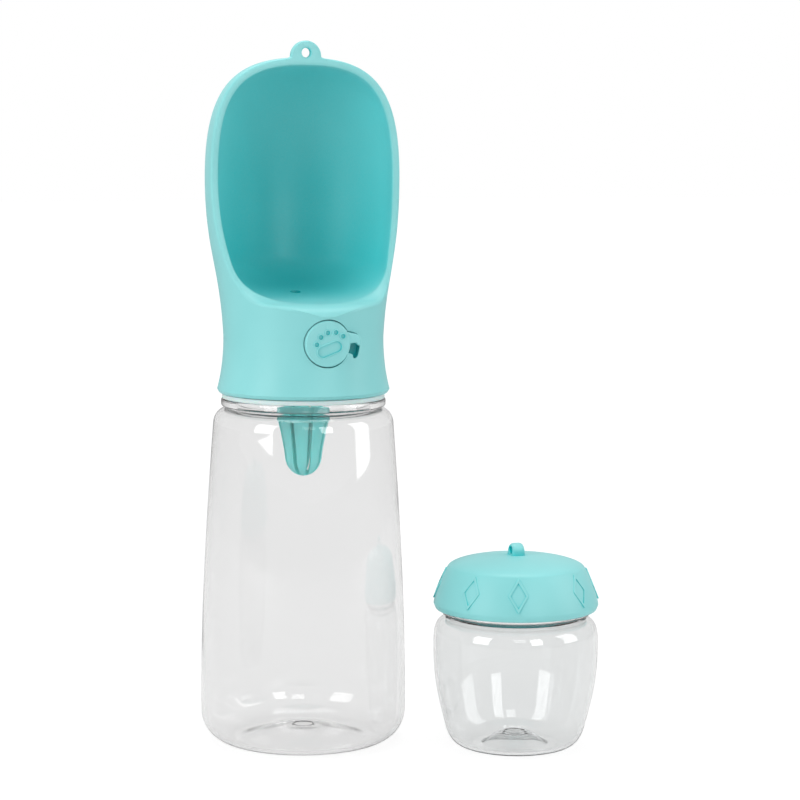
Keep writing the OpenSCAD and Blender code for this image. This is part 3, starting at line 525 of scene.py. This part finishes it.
def makeCopiesGroup():
    # copies of an item round an axis, in pairs: one step inside a pair, another from pair to pair
    tree, given = startGroup("copiesRoundAxis", {
        "Item": "Object", "Count": "Int", "First Angle": "Float", "Inner Step": "Float",
        "Pair Step": "Float", "Turn": "Vector", "Place": "Vector", "Material": "Material"})
    index = addNode(tree, "GeometryNodeInputIndex").outputs[0]
    half = addNode(tree, "ShaderNodeMath", {0: index}, {1: 0.5}, operation="MULTIPLY")
    pair = addNode(tree, "ShaderNodeMath", {0: half.outputs[0]}, operation="FLOOR")
    odd = addNode(tree, "ShaderNodeMath", {0: index}, {1: 2.0}, operation="MODULO")
    inner = addNode(tree, "ShaderNodeMath", {
        0: odd.outputs[0], 1: given["Inner Step"], 2: given["First Angle"]}, operation="MULTIPLY_ADD")
    angle = addNode(tree, "ShaderNodeMath", {
        0: pair.outputs[0], 1: given["Pair Step"], 2: inner.outputs[0]}, operation="MULTIPLY_ADD")
    turned = addNode(tree, "ShaderNodeCombineXYZ", {"Z": angle.outputs[0]})
    line = addNode(tree, "GeometryNodeMeshLine", {"Count": given["Count"]}, {"Offset": (0, 0, 0)})
    item = addNode(tree, "GeometryNodeObjectInfo", {"Object": given["Item"]})
    copies = addNode(tree, "GeometryNodeInstanceOnPoints", {
        "Points": line.outputs[0], "Instance": item.outputs["Geometry"], "Rotation": turned.outputs[0]})
    real = addNode(tree, "GeometryNodeRealizeInstances", {0: copies.outputs[0]})
    placed = addNode(tree, "GeometryNodeTransform", {
        "Geometry": real.outputs[0], "Translation": given["Place"], "Rotation": given["Turn"]})
    skinned = addNode(tree, "GeometryNodeSetMaterial", {
        "Geometry": placed.outputs[0], "Material": given["Material"]})
    addNode(tree, "NodeGroupOutput", {"Geometry": skinned.outputs[0]})
    return tree


def makeRidgeGroup():
    # a ridge of four-sided section swept along a helix
    tree, given = startGroup("helixRidge", {
        "Radius": "Float", "Turns": "Float", "Pitch": "Float", "Steps": "Int",
        "Root Width": "Float", "Crest Width": "Float", "Depth": "Float",
        "Turn": "Vector", "Place": "Vector", "Material": "Material"})
    rise = addNode(tree, "ShaderNodeMath", {0: given["Turns"], 1: given["Pitch"]}, operation="MULTIPLY")
    helix = addNode(tree, "GeometryNodeCurveSpiral", {
        "Resolution": given["Steps"], "Rotations": given["Turns"], "Start Radius": given["Radius"],
        "End Radius": given["Radius"], "Height": rise.outputs[0]})
    upright = addNode(tree, "GeometryNodeSetCurveNormal", {0: helix.outputs[0]})
    upright.mode = "Z_UP"
    section = addNode(tree, "GeometryNodeCurvePrimitiveQuadrilateral", {
        "Bottom Width": given["Root Width"], "Top Width": given["Crest Width"], "Height": given["Depth"]},
                      {"Offset": 0.0}, mode="TRAPEZOID")
    swept = addNode(tree, "GeometryNodeCurveToMesh", {
        "Curve": upright.outputs[0], "Profile Curve": section.outputs[0]}, {"Fill Caps": True})
    placed = addNode(tree, "GeometryNodeTransform", {
        "Geometry": swept.outputs[0], "Translation": given["Place"], "Rotation": given["Turn"]})
    skinned = addNode(tree, "GeometryNodeSetMaterial", {
        "Geometry": placed.outputs[0], "Material": given["Material"]})
    addNode(tree, "NodeGroupOutput", {"Geometry": skinned.outputs[0]})
    return tree


copiesGroup = makeCopiesGroup()
ridgeGroup = makeRidgeGroup()


def copiesRound(name, item, count, first, innerStep, pairStep, material, place=(0, 0, 0), turn=(0, 0, 0)):
    # places in mm and angles in degrees; the item itself is removed
    made = runGroup(name, copiesGroup, {
        "Item": item, "Count": count, "First Angle": math.radians(first),
        "Inner Step": math.radians(innerStep), "Pair Step": math.radians(pairStep),
        "Turn": tuple(math.radians(a) for a in turn), "Place": tuple(c * mm for c in place),
        "Material": material})
    bpy.data.objects.remove(item)
    return made


def threadRidge(name, wall, outward, size, centre, low, material):
    # the thread's ridge on a wall's radius: outward is 1 on a neck, and -1 in a skirt, half a pitch lower
    radius = wall + outward * (thread["depth"] / 2 - thread["root"])
    start = low + thread["rise"] - (0 if outward > 0 else thread["pitch"] / 2)
    return runGroup(name, ridgeGroup, {
        "Radius": radius * mm, "Turns": size["threadTurns"], "Pitch": thread["pitch"] * mm,
        "Steps": thread["steps"], "Root Width": thread["width"] * mm,
        "Crest Width": thread["width"] * mm / 2, "Depth": thread["depth"] * mm,
        "Turn": (0, 0, math.radians(size["threadStart"])),
        "Place": (centre[0] * mm, centre[1] * mm, start * mm), "Material": material})


def joinTo(piece, *others):
    # adds closed shells to a mesh without cutting them into it
    work = bmesh.new()
    work.from_mesh(piece.data)
    for other in others:
        work.from_mesh(other.data)
        bpy.data.objects.remove(other)
    work.to_mesh(piece.data)
    work.free()


thread = {
    "pitch": 3.2, "width": 1.3, "depth": 1.05,
    "root": 0.2,             # how far a ridge sinks into its wall
    "rise": 2.2,             # from a skirt's lower edge to the start of the neck's ridge
    "steps": 96,
}
bottle = {
    "rimHeight": 141.6, "footRadius": 39.2, "shoulderRadius": 34.4, "shoulderHeight": 122.0,
    "footRound": 12.0, "wall": 1.1, "pushUp": 4.5, "footFlat": 3.0, "gateRadius": 4.1,
    "neckRadius": 27.3, "neckWall": 1.7, "ringRadius": 31.3, "ringTop": 132.3, "ringLow": 129.3,
    "washerHeight": 1.8, "washerRadius": 30.9, "washerBore": 28.55,
    "threadTurns": 1.0, "threadStart": 5.0, "segments": 160,
}
jar = {
    "x": 73.2, "y": -36.6, "rimHeight": 62.0, "radius": 31.3, "shoulderHeight": 49.6, "footRadius": 16.0,
    "wall": 1.1, "pushUp": 4.5, "footFlat": 3.0, "gateRadius": 4.2,
    "neckRadius": 25.4, "neckWall": 1.7, "ringRadius": 28.2, "ringTop": 53.0, "ringLow": 51.4,
    "threadTurns": 1.0, "threadStart": 5.0, "segments": 144,
}
jarCentre = (jar["x"], jar["y"])
headLow = 134.3          # the skirt's lower edge
lidLow = 53.2            # the jar lid's lower edge


def clearOutline(size, side):
    # a blown bottle's whole outline: pushed-up base with a raised ring at the gate, side, and threaded neck
    inner = shifted(side, size["wall"])
    footIn = side[0][0] - size["footFlat"]
    gate, pushUp = size["gateRadius"], size["pushUp"]
    base = [(0, pushUp), (gate - 0.5, pushUp), (gate - 0.2, pushUp + 0.25), (gate + 0.2, pushUp)]
    base += cubic((gate + 0.6, pushUp), (footIn * 0.62, pushUp), (footIn * 0.85, 0), (footIn, 0), 16)
    neck, ring = size["neckRadius"], size["ringRadius"]
    bore = neck - size["neckWall"]
    ringLow, ringTop, rim = size["ringLow"], size["ringTop"], size["rimHeight"]
    top = [(neck, ringLow), (ring, ringLow), (ring, ringTop), (neck, ringTop),
           (neck, rim), (bore, rim), (bore, ringLow)]
    upper = rounded([side[-1]] + top + [inner[-2]], 0.9)[1:-1]
    return base + side + upper + inner[-2::-1] + [(r, z + size["wall"]) for r, z in reversed(base)]


def bottleSide():
    foot, shoulder, z = bottle["footRadius"], bottle["shoulderRadius"], bottle["shoulderHeight"]
    turn, neck, ring = bottle["footRound"], bottle["neckRadius"], bottle["ringLow"]
    side = arcPoints((foot - turn, turn), turn, -90, 0, 14)
    side += cubic((foot, turn), (foot + 0.4, 46), (foot - 2.2, z - 34), (shoulder, z), 36)[1:]
    side += cubic((shoulder, z), (shoulder - 0.1, z + 4.4),
                  (neck + 4.6, ring - 0.8), (neck + 0.4, ring - 0.3), 16)[1:]
    return side


def jarSide():
    foot, radius, z = jar["footRadius"], jar["radius"], jar["shoulderHeight"]
    side = cubic((foot, 0), (foot + 7, 0.2), (radius - 5.9, 2.6), (radius - 4.1, 10.6), 18)
    side += cubic((radius - 4.1, 10.6), (radius - 1.9, 19), (radius, 26), (radius, z - 10), 14)[1:]
    side += cubic((radius, z - 10), (radius + 0.1, z - 2.6),
                  (radius - 1, z - 0.4), (jar["neckRadius"], z + 0.6), 16)[1:]
    return side


bottlePiece = lathe("clearBottle", clearOutline(bottle, bottleSide()), bottle["segments"])
joinTo(bottlePiece, threadRidge("neckThread", bottle["neckRadius"], 1, bottle, (0, 0), headLow, clearPet))
finishPiece(bottlePiece, "bottle", clearPet, "bottle")
jarPiece = lathe("clearJar", clearOutline(jar, jarSide()), jar["segments"], jarCentre)
joinTo(jarPiece, threadRidge("jarThread", jar["neckRadius"], 1, jar, jarCentre, lidLow, thickPet))
finishPiece(jarPiece, "jar", thickPet, "jar")

washerLow, washerTop = bottle["ringTop"], bottle["ringTop"] + bottle["washerHeight"]
washerOut, washerIn, washerSeam = bottle["washerRadius"], bottle["washerBore"], 29.7
washerPiece = latheRing("ringWasher", rounded([
    (washerSeam, washerLow), (washerOut, washerLow), (washerOut, washerTop),
    (washerIn, washerTop), (washerIn, washerLow), (washerSeam - 0.1, washerLow)], 0.3), bottle["segments"])
finishPiece(washerPiece, "bottle", tealSilicone, "ring_washer")
print("stage: clear bottle and jar")


head = {
    "skirtRadius": 32.8, "waistRadius": 30.4, "waistHeight": 21.7,
    "scoopRadius": 37.4, "scoopHeight": 82.0, "backDepth": 35.0, "height": 126.3,
    "wall": 3.0, "floorHeight": 170.4, "floorSlope": 0.11, "floorRound": 16.0, "lipDepth": 44.4,
    "rimRound": 1.1, "boreRadius": 28.85, "deck": 143.0, "deckTop": 145.4, "coreRadius": 24.9,
    "roomRadius": 22.6, "roomTop": 167.2, "roomBevel": (4.6, 3.6), "outletRadius": 2.2, "outletY": 10.6,
    "threadTurns": 0.9, "threadStart": 115.0,
    "columns": 208, "wallRows": 84, "rimRows": 14, "troughRows": 64, "sideSteps": 420, "rimSteps": 300,
}
topZ = headLow + head["height"]
waistZ = headLow + head["waistHeight"]
scoopZ = headLow + head["scoopHeight"]
floorZ = head["floorHeight"]
waist = head["waistRadius"]
skirtLine = cubic((head["skirtRadius"], headLow + 1.5), (head["skirtRadius"] - 1.1, headLow + 5.5),
                  (waist - 0.1, waistZ - 9), (waist, waistZ), 40)


def headOutline(reach, widest, low, high):
    # the outline from the skirt up to the top: low and high steer it below and above its widest place
    points = skirtLine + cubic((waist, waistZ), (waist + low[0], waistZ + low[1]),
                               (reach - low[2], widest - low[3]), (reach, widest), 80)[1:]
    points += cubic((reach, widest), (reach + high[0], widest + high[1]),
                    (reach - high[2], topZ + 0.4), (0.0, topZ), 120)[1:]
    return evenly(points, head["sideSteps"])


headSide = headOutline(head["scoopRadius"], scoopZ, (1.5, 28, 0.1, 28.6), (-0.1, 32.2, 9.6))
headBack = headOutline(head["backDepth"], scoopZ - 8, (0.3, 15, 0.6, 22), (0.4, 30, 12))
outerSideAt, outerBackAt = radiusFinder(headSide), radiusFinder(headBack)
innerSideAt = radiusFinder(shifted(headSide, head["wall"]))
innerBackAt = radiusFinder(shifted(headBack, head["wall"]))


leastBack = 0.2          # the back's least reach, as a share of the side's, so that the top closes


def outerReach(y, z):
    # how far the outside reaches to the side, and to the front or the back, at a height
    side = outerSideAt(z)
    return side, max(outerBackAt(z), side * leastBack) if y > 0 else side


def innerReach(y, z):
    # the same for the trough, whose floor slopes down to the front and is rounded up into the walls
    slope, fade = head["floorSlope"] * y, 2 * head["floorRound"]
    level = (z - slope * (1 + floorZ / fade)) / (1 - slope / fade)
    level = level if level < floorZ + fade else z
    short = min(max(1 - (level - floorZ) / head["floorRound"], 0), 1)
    share = (1 - short ** 3) ** (1 / 3)
    side = innerSideAt(level) * share
    if y > 0:
        return side, max(innerBackAt(level) * share, side * leastBack)
    return side, max(head["lipDepth"] * share, side)


def halfWidth(reach, y, z):
    # half the width of a surface at a depth and a height, or None where there is none
    side, far = reach(y, z)
    return side * math.sqrt(1 - (y / far) ** 2) if side > 0 and abs(y) < far else None


def surfacePoint(reach, centre, direction):
    # where a line out from the centre meets a surface
    near, far = 0.0, 160.0           # mm, past every point of the head
    for _ in range(36):
        middle = (near + far) / 2
        x, y, z = centre + direction * middle
        wide = halfWidth(reach, y, z)
        near, far = (near, middle) if wide is None or abs(x) >= wide else (middle, far)
    return tuple(centre + direction * near)


# the opening's outline from the side, (y, z), from under the lip up past the top
rimSide = cubic((-waist - 1.6, floorZ - 5.9), (-waist - 0.9, floorZ - 3.2), (-waist + 1.9, floorZ - 1.1),
                (-waist + 7.4, floorZ - 0.7), 30)
rimSide += cubic((-waist + 7.4, floorZ - 0.7), (-11, floorZ + 0.6),
                 (-5, scoopZ - 26), (-4.2, scoopZ - 2), 60)[1:]
rimSide = evenly(rimSide + [(-3.9, topZ + 2)], head["rimSteps"])
rimCurves = []
for k in range(head["rimRows"] + 1):
    # the same for each row across the rim, moved back into the plastic at the rounded edges
    edge, power = abs(2 * k / head["rimRows"] - 1), 2.6
    rimCurves.append(shifted(rimSide, -head["rimRound"] * (1 - (1 - edge ** power) ** (1 / power))))


def rimOn(reach):
    # where the opening's outline meets a surface, on the right: share of its length -> number, x, y and z
    inside = [n for n in range(len(rimSide)) if halfWidth(reach, *rimCurves[0][n]) is not None]
    ends = []
    for within, outside in ((inside[0], inside[0] - 1), (inside[-1], inside[-1] + 1)):
        for _ in range(40):
            middle = (within + outside) / 2
            if halfWidth(reach, *along(rimCurves[0], middle)) is None:
                outside = middle
            else:
                within = middle
        ends.append(within)

    def placed(u):
        number = ends[0] + (ends[1] - ends[0]) * (1 - math.cos(math.pi * u)) / 2
        y, z = along(rimCurves[0], number)
        return number, halfWidth(reach, y, z) if 0 < u < 1 else 0.0, y, z

    steps = 600
    lengths = [0.0]
    line = [placed(i / steps) for i in range(steps + 1)]
    for p, q in zip(line, line[1:]):
        lengths.append(lengths[-1] + math.dist(p[1:], q[1:]))

    def find(share):
        want = share * lengths[-1]
        i = min(max(bisect.bisect(lengths, want), 1), steps)
        return placed((i - 1 + (want - lengths[i - 1]) / (lengths[i] - lengths[i - 1])) / steps)
    return find


def rimBand(outer, inner):
    # points across the rim, from the outside to the trough
    points = []
    for k in range(1, head["rimRows"]):
        across = k / head["rimRows"]
        y, z = along(rimCurves[k], outer[0] + (inner[0] - outer[0]) * across)
        points.append((outer[1] + (inner[1] - outer[1]) * across, y, z))
    return points


def headMesh():
    # columns of points round the head: up inside the skirt, up the outside, over the rim, down the trough
    skirt, bore, core, deck = head["skirtRadius"], head["boreRadius"], head["coreRadius"], head["deck"]
    room, roomTop, deckTop, bevel = head["roomRadius"], head["roomTop"], head["deckTop"], head["roomBevel"]
    below = rounded([(0, roomTop), (room - bevel[0], roomTop), (room, roomTop - bevel[1]), (room, deckTop),
                     (core, deckTop), (core, deck), (bore, deck), (bore, headLow), (skirt - 0.9, headLow),
                     skirtLine[0]], 0.6)[:-1]
    below += evenly(skirtLine, 24)[:-1]
    outerRim, innerRim = rimOn(outerReach), rimOn(innerReach)
    outerCentre, innerCentre = Vector((0, 0, scoopZ - 11)), Vector((0, 2, scoopZ - 11))
    hub = Vector((0, 0.8, -0.6))     # direction of the point where the trough's columns meet
    grid = []
    for j in range(head["columns"]):
        turn = -90 + 360 * j / head["columns"]
        mirrored = turn > 90
        angle = math.radians(180 - turn if mirrored else turn)
        share = (math.degrees(angle) + 90) / 180
        outer, inner = outerRim(share), innerRim(share)
        column = [(r * math.cos(angle), r * math.sin(angle), z) for r, z in below]
        start = Vector((waist * math.cos(angle), waist * math.sin(angle), waistZ)) - outerCentre
        start.normalize()
        end = (Vector(outer[1:]) - outerCentre).normalized()
        column += [surfacePoint(outerReach, outerCentre, start.slerp(end, i / head["wallRows"]))
                   for i in range(head["wallRows"])]
        column += [outer[1:]] + rimBand(outer, inner) + [inner[1:]]
        end = (Vector(inner[1:]) - innerCentre).normalized()
        column += [surfacePoint(innerReach, innerCentre, end.slerp(hub, i / head["troughRows"]))
                   for i in range(1, head["troughRows"] + 1)]
        grid.append([(-x, y, z) if mirrored else (x, y, z) for x, y, z in column])
    rows = len(grid[0])
    verts = [point for column in grid for point in column]
    faces = []
    for j in range(head["columns"]):
        k = (j + 1) % head["columns"]
        faces += [(j * rows + i, k * rows + i, k * rows + i + 1, j * rows + i + 1) for i in range(rows - 1)]
    return makeObject("drinkingHead", verts, faces, 40)


headPiece = headMesh()
print("stage: head surface", len(headPiece.data.polygons))


def frontPlace(height, zero):
    # places a drawing of the front: x to the right, y up from height, depth back from zero
    return lambda x, y, depth: (x, zero + depth, height + y)


def turnedXY(points, degrees):
    c, s = math.cos(math.radians(degrees)), math.sin(math.radians(degrees))
    return [(c * x - s * y, s * x + c * y) for x, y in points]


button = {
    "height": 155.2, "radius": 8.7, "thickness": 3.0, "round": 0.7, "faceY": -31.0, "gap": 0.35,
    "hookThickness": 2.2, "hookBack": 0.3, "hookSoft": 0.4, "unlock": 22.0,
    "pocketY": -24.4,        # the recess's floor, clear of the disc's back when it is pressed
    "pawDepth": 0.3, "ridge": 0.22,
    "toeX": 1.5, "toeY": -1.9, "toeRadius": 0.87, "toeRing": 6.26, "toeStep": 29.0, "toeTilt": 16.0,
    "padX": 0.56, "padY": -2.05, "padRadius": 2.05, "padHalf": 2.75, "padTilt": 20.0,
    "bossRadius": 3.2, "bossGap": 0.25, "bossLength": 8.4, "socketRadius": 2.1, "socketDepth": 1.3,
}


def hookOutline(gap, turn=0.0):
    # the beak beside the disc, drawn anticlockwise; turn swings it round the disc's centre
    under = cubic((7.0, -0.6), (10.4, 0.5), (11.3, 0.3), (11.7, -0.6), 10)
    tip = cubic((11.7, -0.6), (12.0, -1.3), (13.1, -0.8), (13.1, 0.6), 8)[1:]
    over = cubic((13.1, 0.6), (13.0, 3.9), (9.2, 3.7), (7.0, 4.3), 14)[1:]
    return turnedXY(drawnIn(under + tip + over, -gap), turn)


def pocketTool():
    # the disc's recess, and all that the hook sweeps as it turns down to its lock
    front, swings, sides = -60, 6, 120
    place, depth = frontPlace(button["height"], front), button["pocketY"] - front
    disc = arcPoints((0, 0), button["radius"] + button["gap"], 0, 360 - 360 / sides, sides - 1)
    tool = extrudeOutline("pocketTool", disc, place, depth)
    for k in range(swings + 1):
        swung = hookOutline(button["gap"], -button["unlock"] * k / swings)
        combine(tool, extrudeOutline("pocketPart", swung, place, depth), "UNION")
    return tool


turnBack = Matrix.Rotation(math.radians(-90), 4, "X")      # turns Z so that it runs back along +Y
lug = {"radius": 5.9, "thickness": 3.0, "front": -3.9, "rise": 0.4, "holeRadius": 1.8, "holeRise": 1.8,
       "flare": 2.4, "foot": 2.6, "soft": 0.7}


def lugPiece():
    # the eye on top, which flares into the rim on both sides
    centreZ, low, radius = topZ + lug["rise"], topZ - lug["foot"], lug["radius"]
    wide = radius + lug["flare"]
    outline = arcPoints((0, centreZ), radius, 0, 180, 40)
    left = cubic((-radius, centreZ), (-radius, topZ + 0.1),
                 (-radius - 0.8, topZ - 0.2), (-wide, topZ - 0.5), 8)[1:]
    outline += left + [(-wide, low), (wide, low)] + [(-x, z) for x, z in reversed(left)]
    slab = roundedSlab("lugPart", outline, frontPlace(0, lug["front"]), lug["thickness"], lug["soft"])
    hole = flaredHole("lugHole", lug["holeRadius"], lug["soft"], lug["thickness"])
    start = Matrix.Translation((0, lug["front"] * mm, (topZ + lug["holeRise"]) * mm))
    hole.data.transform(start @ turnBack)
    combine(slab, hole, "DIFFERENCE")
    return slab


combine(headPiece, lugPiece(), "UNION")
combine(headPiece, pocketTool(), "DIFFERENCE")
bore, boreFrom, boreTo = button["bossRadius"] + button["bossGap"], -26, -18
boreTool = lathe("boreTool", [(0, boreFrom), (bore, boreFrom), (bore, boreTo), (0, boreTo)], 48)
boreTool.data.transform(Matrix.Translation((0, 0, button["height"] * mm)) @ turnBack)
combine(headPiece, boreTool, "DIFFERENCE")
outlet, outletLow, outletTop = head["outletRadius"], 160, 178
holeTool = lathe("holeTool", [(0, outletLow), (outlet, outletLow), (outlet, outletTop), (0, outletTop)], 48,
                 (0, head["outletY"]))
combine(headPiece, holeTool, "DIFFERENCE")
tidyMesh(headPiece, 38)
joinTo(headPiece, threadRidge("skirtThread", head["boreRadius"], -1, head, (0, 0), headLow, tealPlastic))
finishPiece(headPiece, "head", tealPlastic, "head_shell")
print("stage: head")


def buttonMesh():
    # the disc with the boss behind it that guides it, the stem's socket, and the hook
    radius, turn, thick, boss = button["radius"], button["round"], button["thickness"], button["bossRadius"]
    socket = button["socketRadius"]
    bossEnd, socketEnd = thick + button["bossLength"], thick - button["socketDepth"]
    outline = [(0, 0)] + arcPoints((radius - turn, turn), turn, -90, 0, 8)
    outline += [(radius, thick), (boss, thick), (boss, bossEnd),
                (socket, bossEnd), (socket, socketEnd), (0, socketEnd)]
    piece = lathe("pawButton", outline, 120)
    piece.data.transform(Matrix.Translation((0, button["faceY"] * mm, button["height"] * mm)) @ turnBack)
    place = frontPlace(button["height"], button["faceY"] + button["hookBack"])
    hook = roundedSlab("hookPart", hookOutline(0), place, button["hookThickness"], button["hookSoft"])
    combine(piece, hook, "UNION")
    return piece


def padOutline(grow):
    half, radius = button["padHalf"], button["padRadius"] + grow
    ends = arcPoints((half, 0), radius, -90, 90, 16) + arcPoints((-half, 0), radius, 90, 270, 16)
    return [(button["padX"] + x, button["padY"] + y) for x, y in turnedXY(ends, button["padTilt"])]


def toeOutline(grow):
    # drawn above the arc's centre; its copies are turned round that centre
    sides = 32
    return arcPoints((0, button["toeRing"]), button["toeRadius"] + grow, 0, 360 - 360 / sides, sides - 1)


def onPad(name, item, depth):
    # five copies on an arc over the pad, laid on the button's face and moved back by depth
    step = button["toeStep"]
    first = button["toeTilt"] - 2 * step
    place = (button["toeX"], button["faceY"], button["height"] + button["toeY"])
    toes = copiesRound(name, item, 5, first, step, 2 * step, tealPlastic, place, (90, 0, 0))
    toes.data.transform(Matrix.Translation((0, depth * mm, 0)))
    return toes


def flat(x, y, depth):
    return x, y, depth


# the pad and each toe are sunk into the face, with a low rounded ridge round them
buttonPiece = buttonMesh()
ridge, sunk = button["ridge"], button["pawDepth"]
tall = 1.0               # mm, height of the blocks that make the ridges and reach out from the face
ridgePlace = frontPlace(button["height"], button["faceY"] - ridge)
toolPlace = frontPlace(button["height"], button["faceY"] - tall)
padRidge = roundedSlab("padRidge", padOutline(2 * ridge), ridgePlace, tall, ridge)
toeRidge = onPad("toeRidge", roundedSlab("toeItem", toeOutline(2 * ridge), flat, tall, ridge), tall - ridge)
combine(buttonPiece, padRidge, "UNION")
combine(buttonPiece, toeRidge, "UNION")
combine(buttonPiece, extrudeOutline("padTool", padOutline(0), toolPlace, tall + sunk), "DIFFERENCE")
toeTool = onPad("toeTool", extrudeOutline("toeItem", toeOutline(0), flat, 2 * tall), sunk)
combine(buttonPiece, toeTool, "DIFFERENCE")
tidyMesh(buttonPiece, 30)
finishPiece(buttonPiece, "button", tealPlastic, "button")
print("stage: button")


strainer = {
    "low": 102.2, "radius": 7.1, "collarRadius": 10.0, "collarLow": 126.2, "collarTop": 134.0, "wall": 1.4,
    "boreRadius": 8.5, "step": 3.2, "slots": 8, "slotWidth": 1.6, "slotTop": 125.0, "slotFrom": 2.4,
    "notch": 0.7, "segments": 96,
}


def strainerOutline():
    low, radius, collar, collarLow = (strainer[k] for k in ("low", "radius", "collarRadius", "collarLow"))
    bore, top, step = strainer["boreRadius"], strainer["collarTop"], collarLow + strainer["step"]
    side = cubic((0, low), (radius * 0.55, low), (radius - 0.2, low + 3.4), (radius, low + 8), 20)
    side += cubic((radius, low + 8), (radius + 0.8, low + 14),
                  (collar - 0.6, collarLow - 5), (collar - 0.4, collarLow - 1), 16)[1:]
    inside = shifted(side, strainer["wall"])
    inside[0] = (0, low + strainer["wall"])
    upper = [(collar, collarLow), (collar, top), (bore, top), (bore, step), (inside[-1][0], step)]
    return side + rounded([side[-1]] + upper + [inside[-1]], 0.5)[1:-1] + inside[::-1]


def slotItem(inner, low, high):
    # a block that cuts one slot, from inner out past the wall, drawn towards the front
    half, outer = strainer["slotWidth"] / 2, 12
    corners = [(-half, -outer), (half, -outer), (half, -inner), (-half, -inner)]
    return extrudeOutline("slotItem", corners, lambda x, y, d: (x, y, low + d), high - low)


strainerPiece = lathe("strainerBasket", strainerOutline(), strainer["segments"])
count, past = strainer["slots"], 1       # past: mm that a tool reaches past what it cuts
slot = slotItem(strainer["slotFrom"], strainer["low"] - past, strainer["slotTop"])
slotTools = copiesRound("slotTools", slot, count, 0, 360 / count, 720 / count, strainerPlastic)
combine(strainerPiece, slotTools, "DIFFERENCE")
notch = slotItem(strainer["collarRadius"] - strainer["notch"], strainer["collarLow"] + past,
                 strainer["collarTop"] + past)
notchTools = copiesRound("notchTools", notch, count // 2, 0, 720 / count, 1440 / count, strainerPlastic)
combine(strainerPiece, notchTools, "DIFFERENCE")
tidyMesh(strainerPiece, 34)
finishPiece(strainerPiece, "strainer", strainerPlastic, "strainer")
print("stage: strainer")


lid = {
    "radius": 31.3, "topRadius": 25.0, "height": 20.6, "boreRadius": 26.95, "liner": 63.3,
    "topWall": 3.0, "roomRadius": 17.0, "linerRoom": 2.4, "threadTurns": 0.9, "threadStart": 40.0,
    "lugRadius": 3.3, "lugHeight": 4.4, "lugThickness": 5.0, "lugFoot": 1.5, "lugSoft": 1.4,
    "lugHoleRadius": 1.5, "lugHoleRise": 1.7,
    "diamondWidth": 7.7, "diamondHeight": 12.4, "diamondLine": 0.9, "diamondRise": 0.15, "diamonds": 8,
    "firstDiamond": -147.0, "innerStep": 37.0, "pairStep": 90.0, "segments": 160,
}
lidTop, lidRadius, crown = lidLow + lid["height"], lid["radius"], lid["topRadius"]
lidSide = cubic((lidRadius, lidLow + 2), (lidRadius - 0.5, lidLow + 6),
                (crown + 2.8, lidTop - 7.4), (crown + 0.9, lidTop - 4.6), 24)
lidSide += cubic((crown + 0.9, lidTop - 4.6), (crown, lidTop - 3),
                 (crown - 7, lidTop - 0.4), (0, lidTop), 24)[1:]


def lidPieceMesh():
    bore, liner, room, roof = lid["boreRadius"], lid["liner"], lid["roomRadius"], lidTop - lid["topWall"]
    mouth, linerTop = jar["neckRadius"] - jar["neckWall"], liner + lid["linerRoom"]
    inside = [(0, roof), (room, roof), (room, linerTop), (mouth, linerTop), (mouth, liner),
              (bore, liner), (bore, lidLow), (lidRadius - 0.8, lidLow), lidSide[0]]
    return lathe("jarLid", rounded(inside, 0.5)[:-1] + lidSide, lid["segments"], jarCentre)


def lidLug():
    # the arched eye on the lid's top, with its hole along X
    radius, half, foot = lid["lugRadius"], lid["lugThickness"] / 2, lid["lugFoot"]
    top = lid["lugHeight"] - radius
    arch = arcPoints((0, top), radius, 0, 180, 28)
    outline = [(radius, -foot), (radius, top)] + arch[1:] + [(-radius, -foot)]

    def place(y, z, depth):
        return jar["x"] - half + depth, jar["y"] + y, lidTop + z
    slab = roundedSlab("lidLug", outline, place, lid["lugThickness"], lid["lugSoft"])
    hole = flaredHole("lidLugHole", lid["lugHoleRadius"], lid["lugSoft"] / 2, lid["lugThickness"])
    start = Matrix.Translation(((jar["x"] - half) * mm, jar["y"] * mm, (lidTop + lid["lugHoleRise"]) * mm))
    hole.data.transform(start @ Matrix.Rotation(math.radians(90), 4, "Y"))
    combine(slab, hole, "DIFFERENCE")
    return slab


def diamondItem():
    # one raised outline on the lid's slope, on the +X side
    middle = lidLow + lid["height"] / 2 - 0.6
    high, wide, line = lid["diamondHeight"] / 2, lid["diamondWidth"] / 2, lid["diamondLine"]
    radiusAt = radiusFinder(lidSide)
    lean = (radiusAt(middle - high) - radiusAt(middle + high)) / (2 * high)
    radius = radiusAt(middle) + lid["diamondRise"]

    def place(y, z, depth):
        return radius - lean * z - depth, y, middle + z

    def outwards(y, z, depth):
        return place(y, z, depth - 1)
    seam = (wide / 2, high / 2)
    outer = rounded([seam, (0, high), (-wide, 0), (0, -high), (wide, 0), seam], 0.6)[:-1]
    item = roundedSlab("diamondItem", outer, place, 1, 0.25, 3)
    innerHigh, innerWide = high - 1.8 * line, wide - 1.1 * line
    inner = [(0, innerHigh), (innerWide, 0), (0, -innerHigh), (-innerWide, 0)]
    combine(item, extrudeOutline("diamondHole", inner, outwards, 4), "DIFFERENCE")
    return item


lidPiece = lidPieceMesh()
combine(lidPiece, lidLug(), "UNION")
diamonds = copiesRound("diamonds", diamondItem(), lid["diamonds"], lid["firstDiamond"], lid["innerStep"],
                       lid["pairStep"], tealPlastic, jarCentre + (0,))
combine(lidPiece, diamonds, "UNION")
tidyMesh(lidPiece, 34)
joinTo(lidPiece, threadRidge("lidThread", lid["boreRadius"], -1, lid, jarCentre, lidLow, tealPlastic))
finishPiece(lidPiece, "jar_lid", tealPlastic, "jar_lid")
print("stage: jar lid")
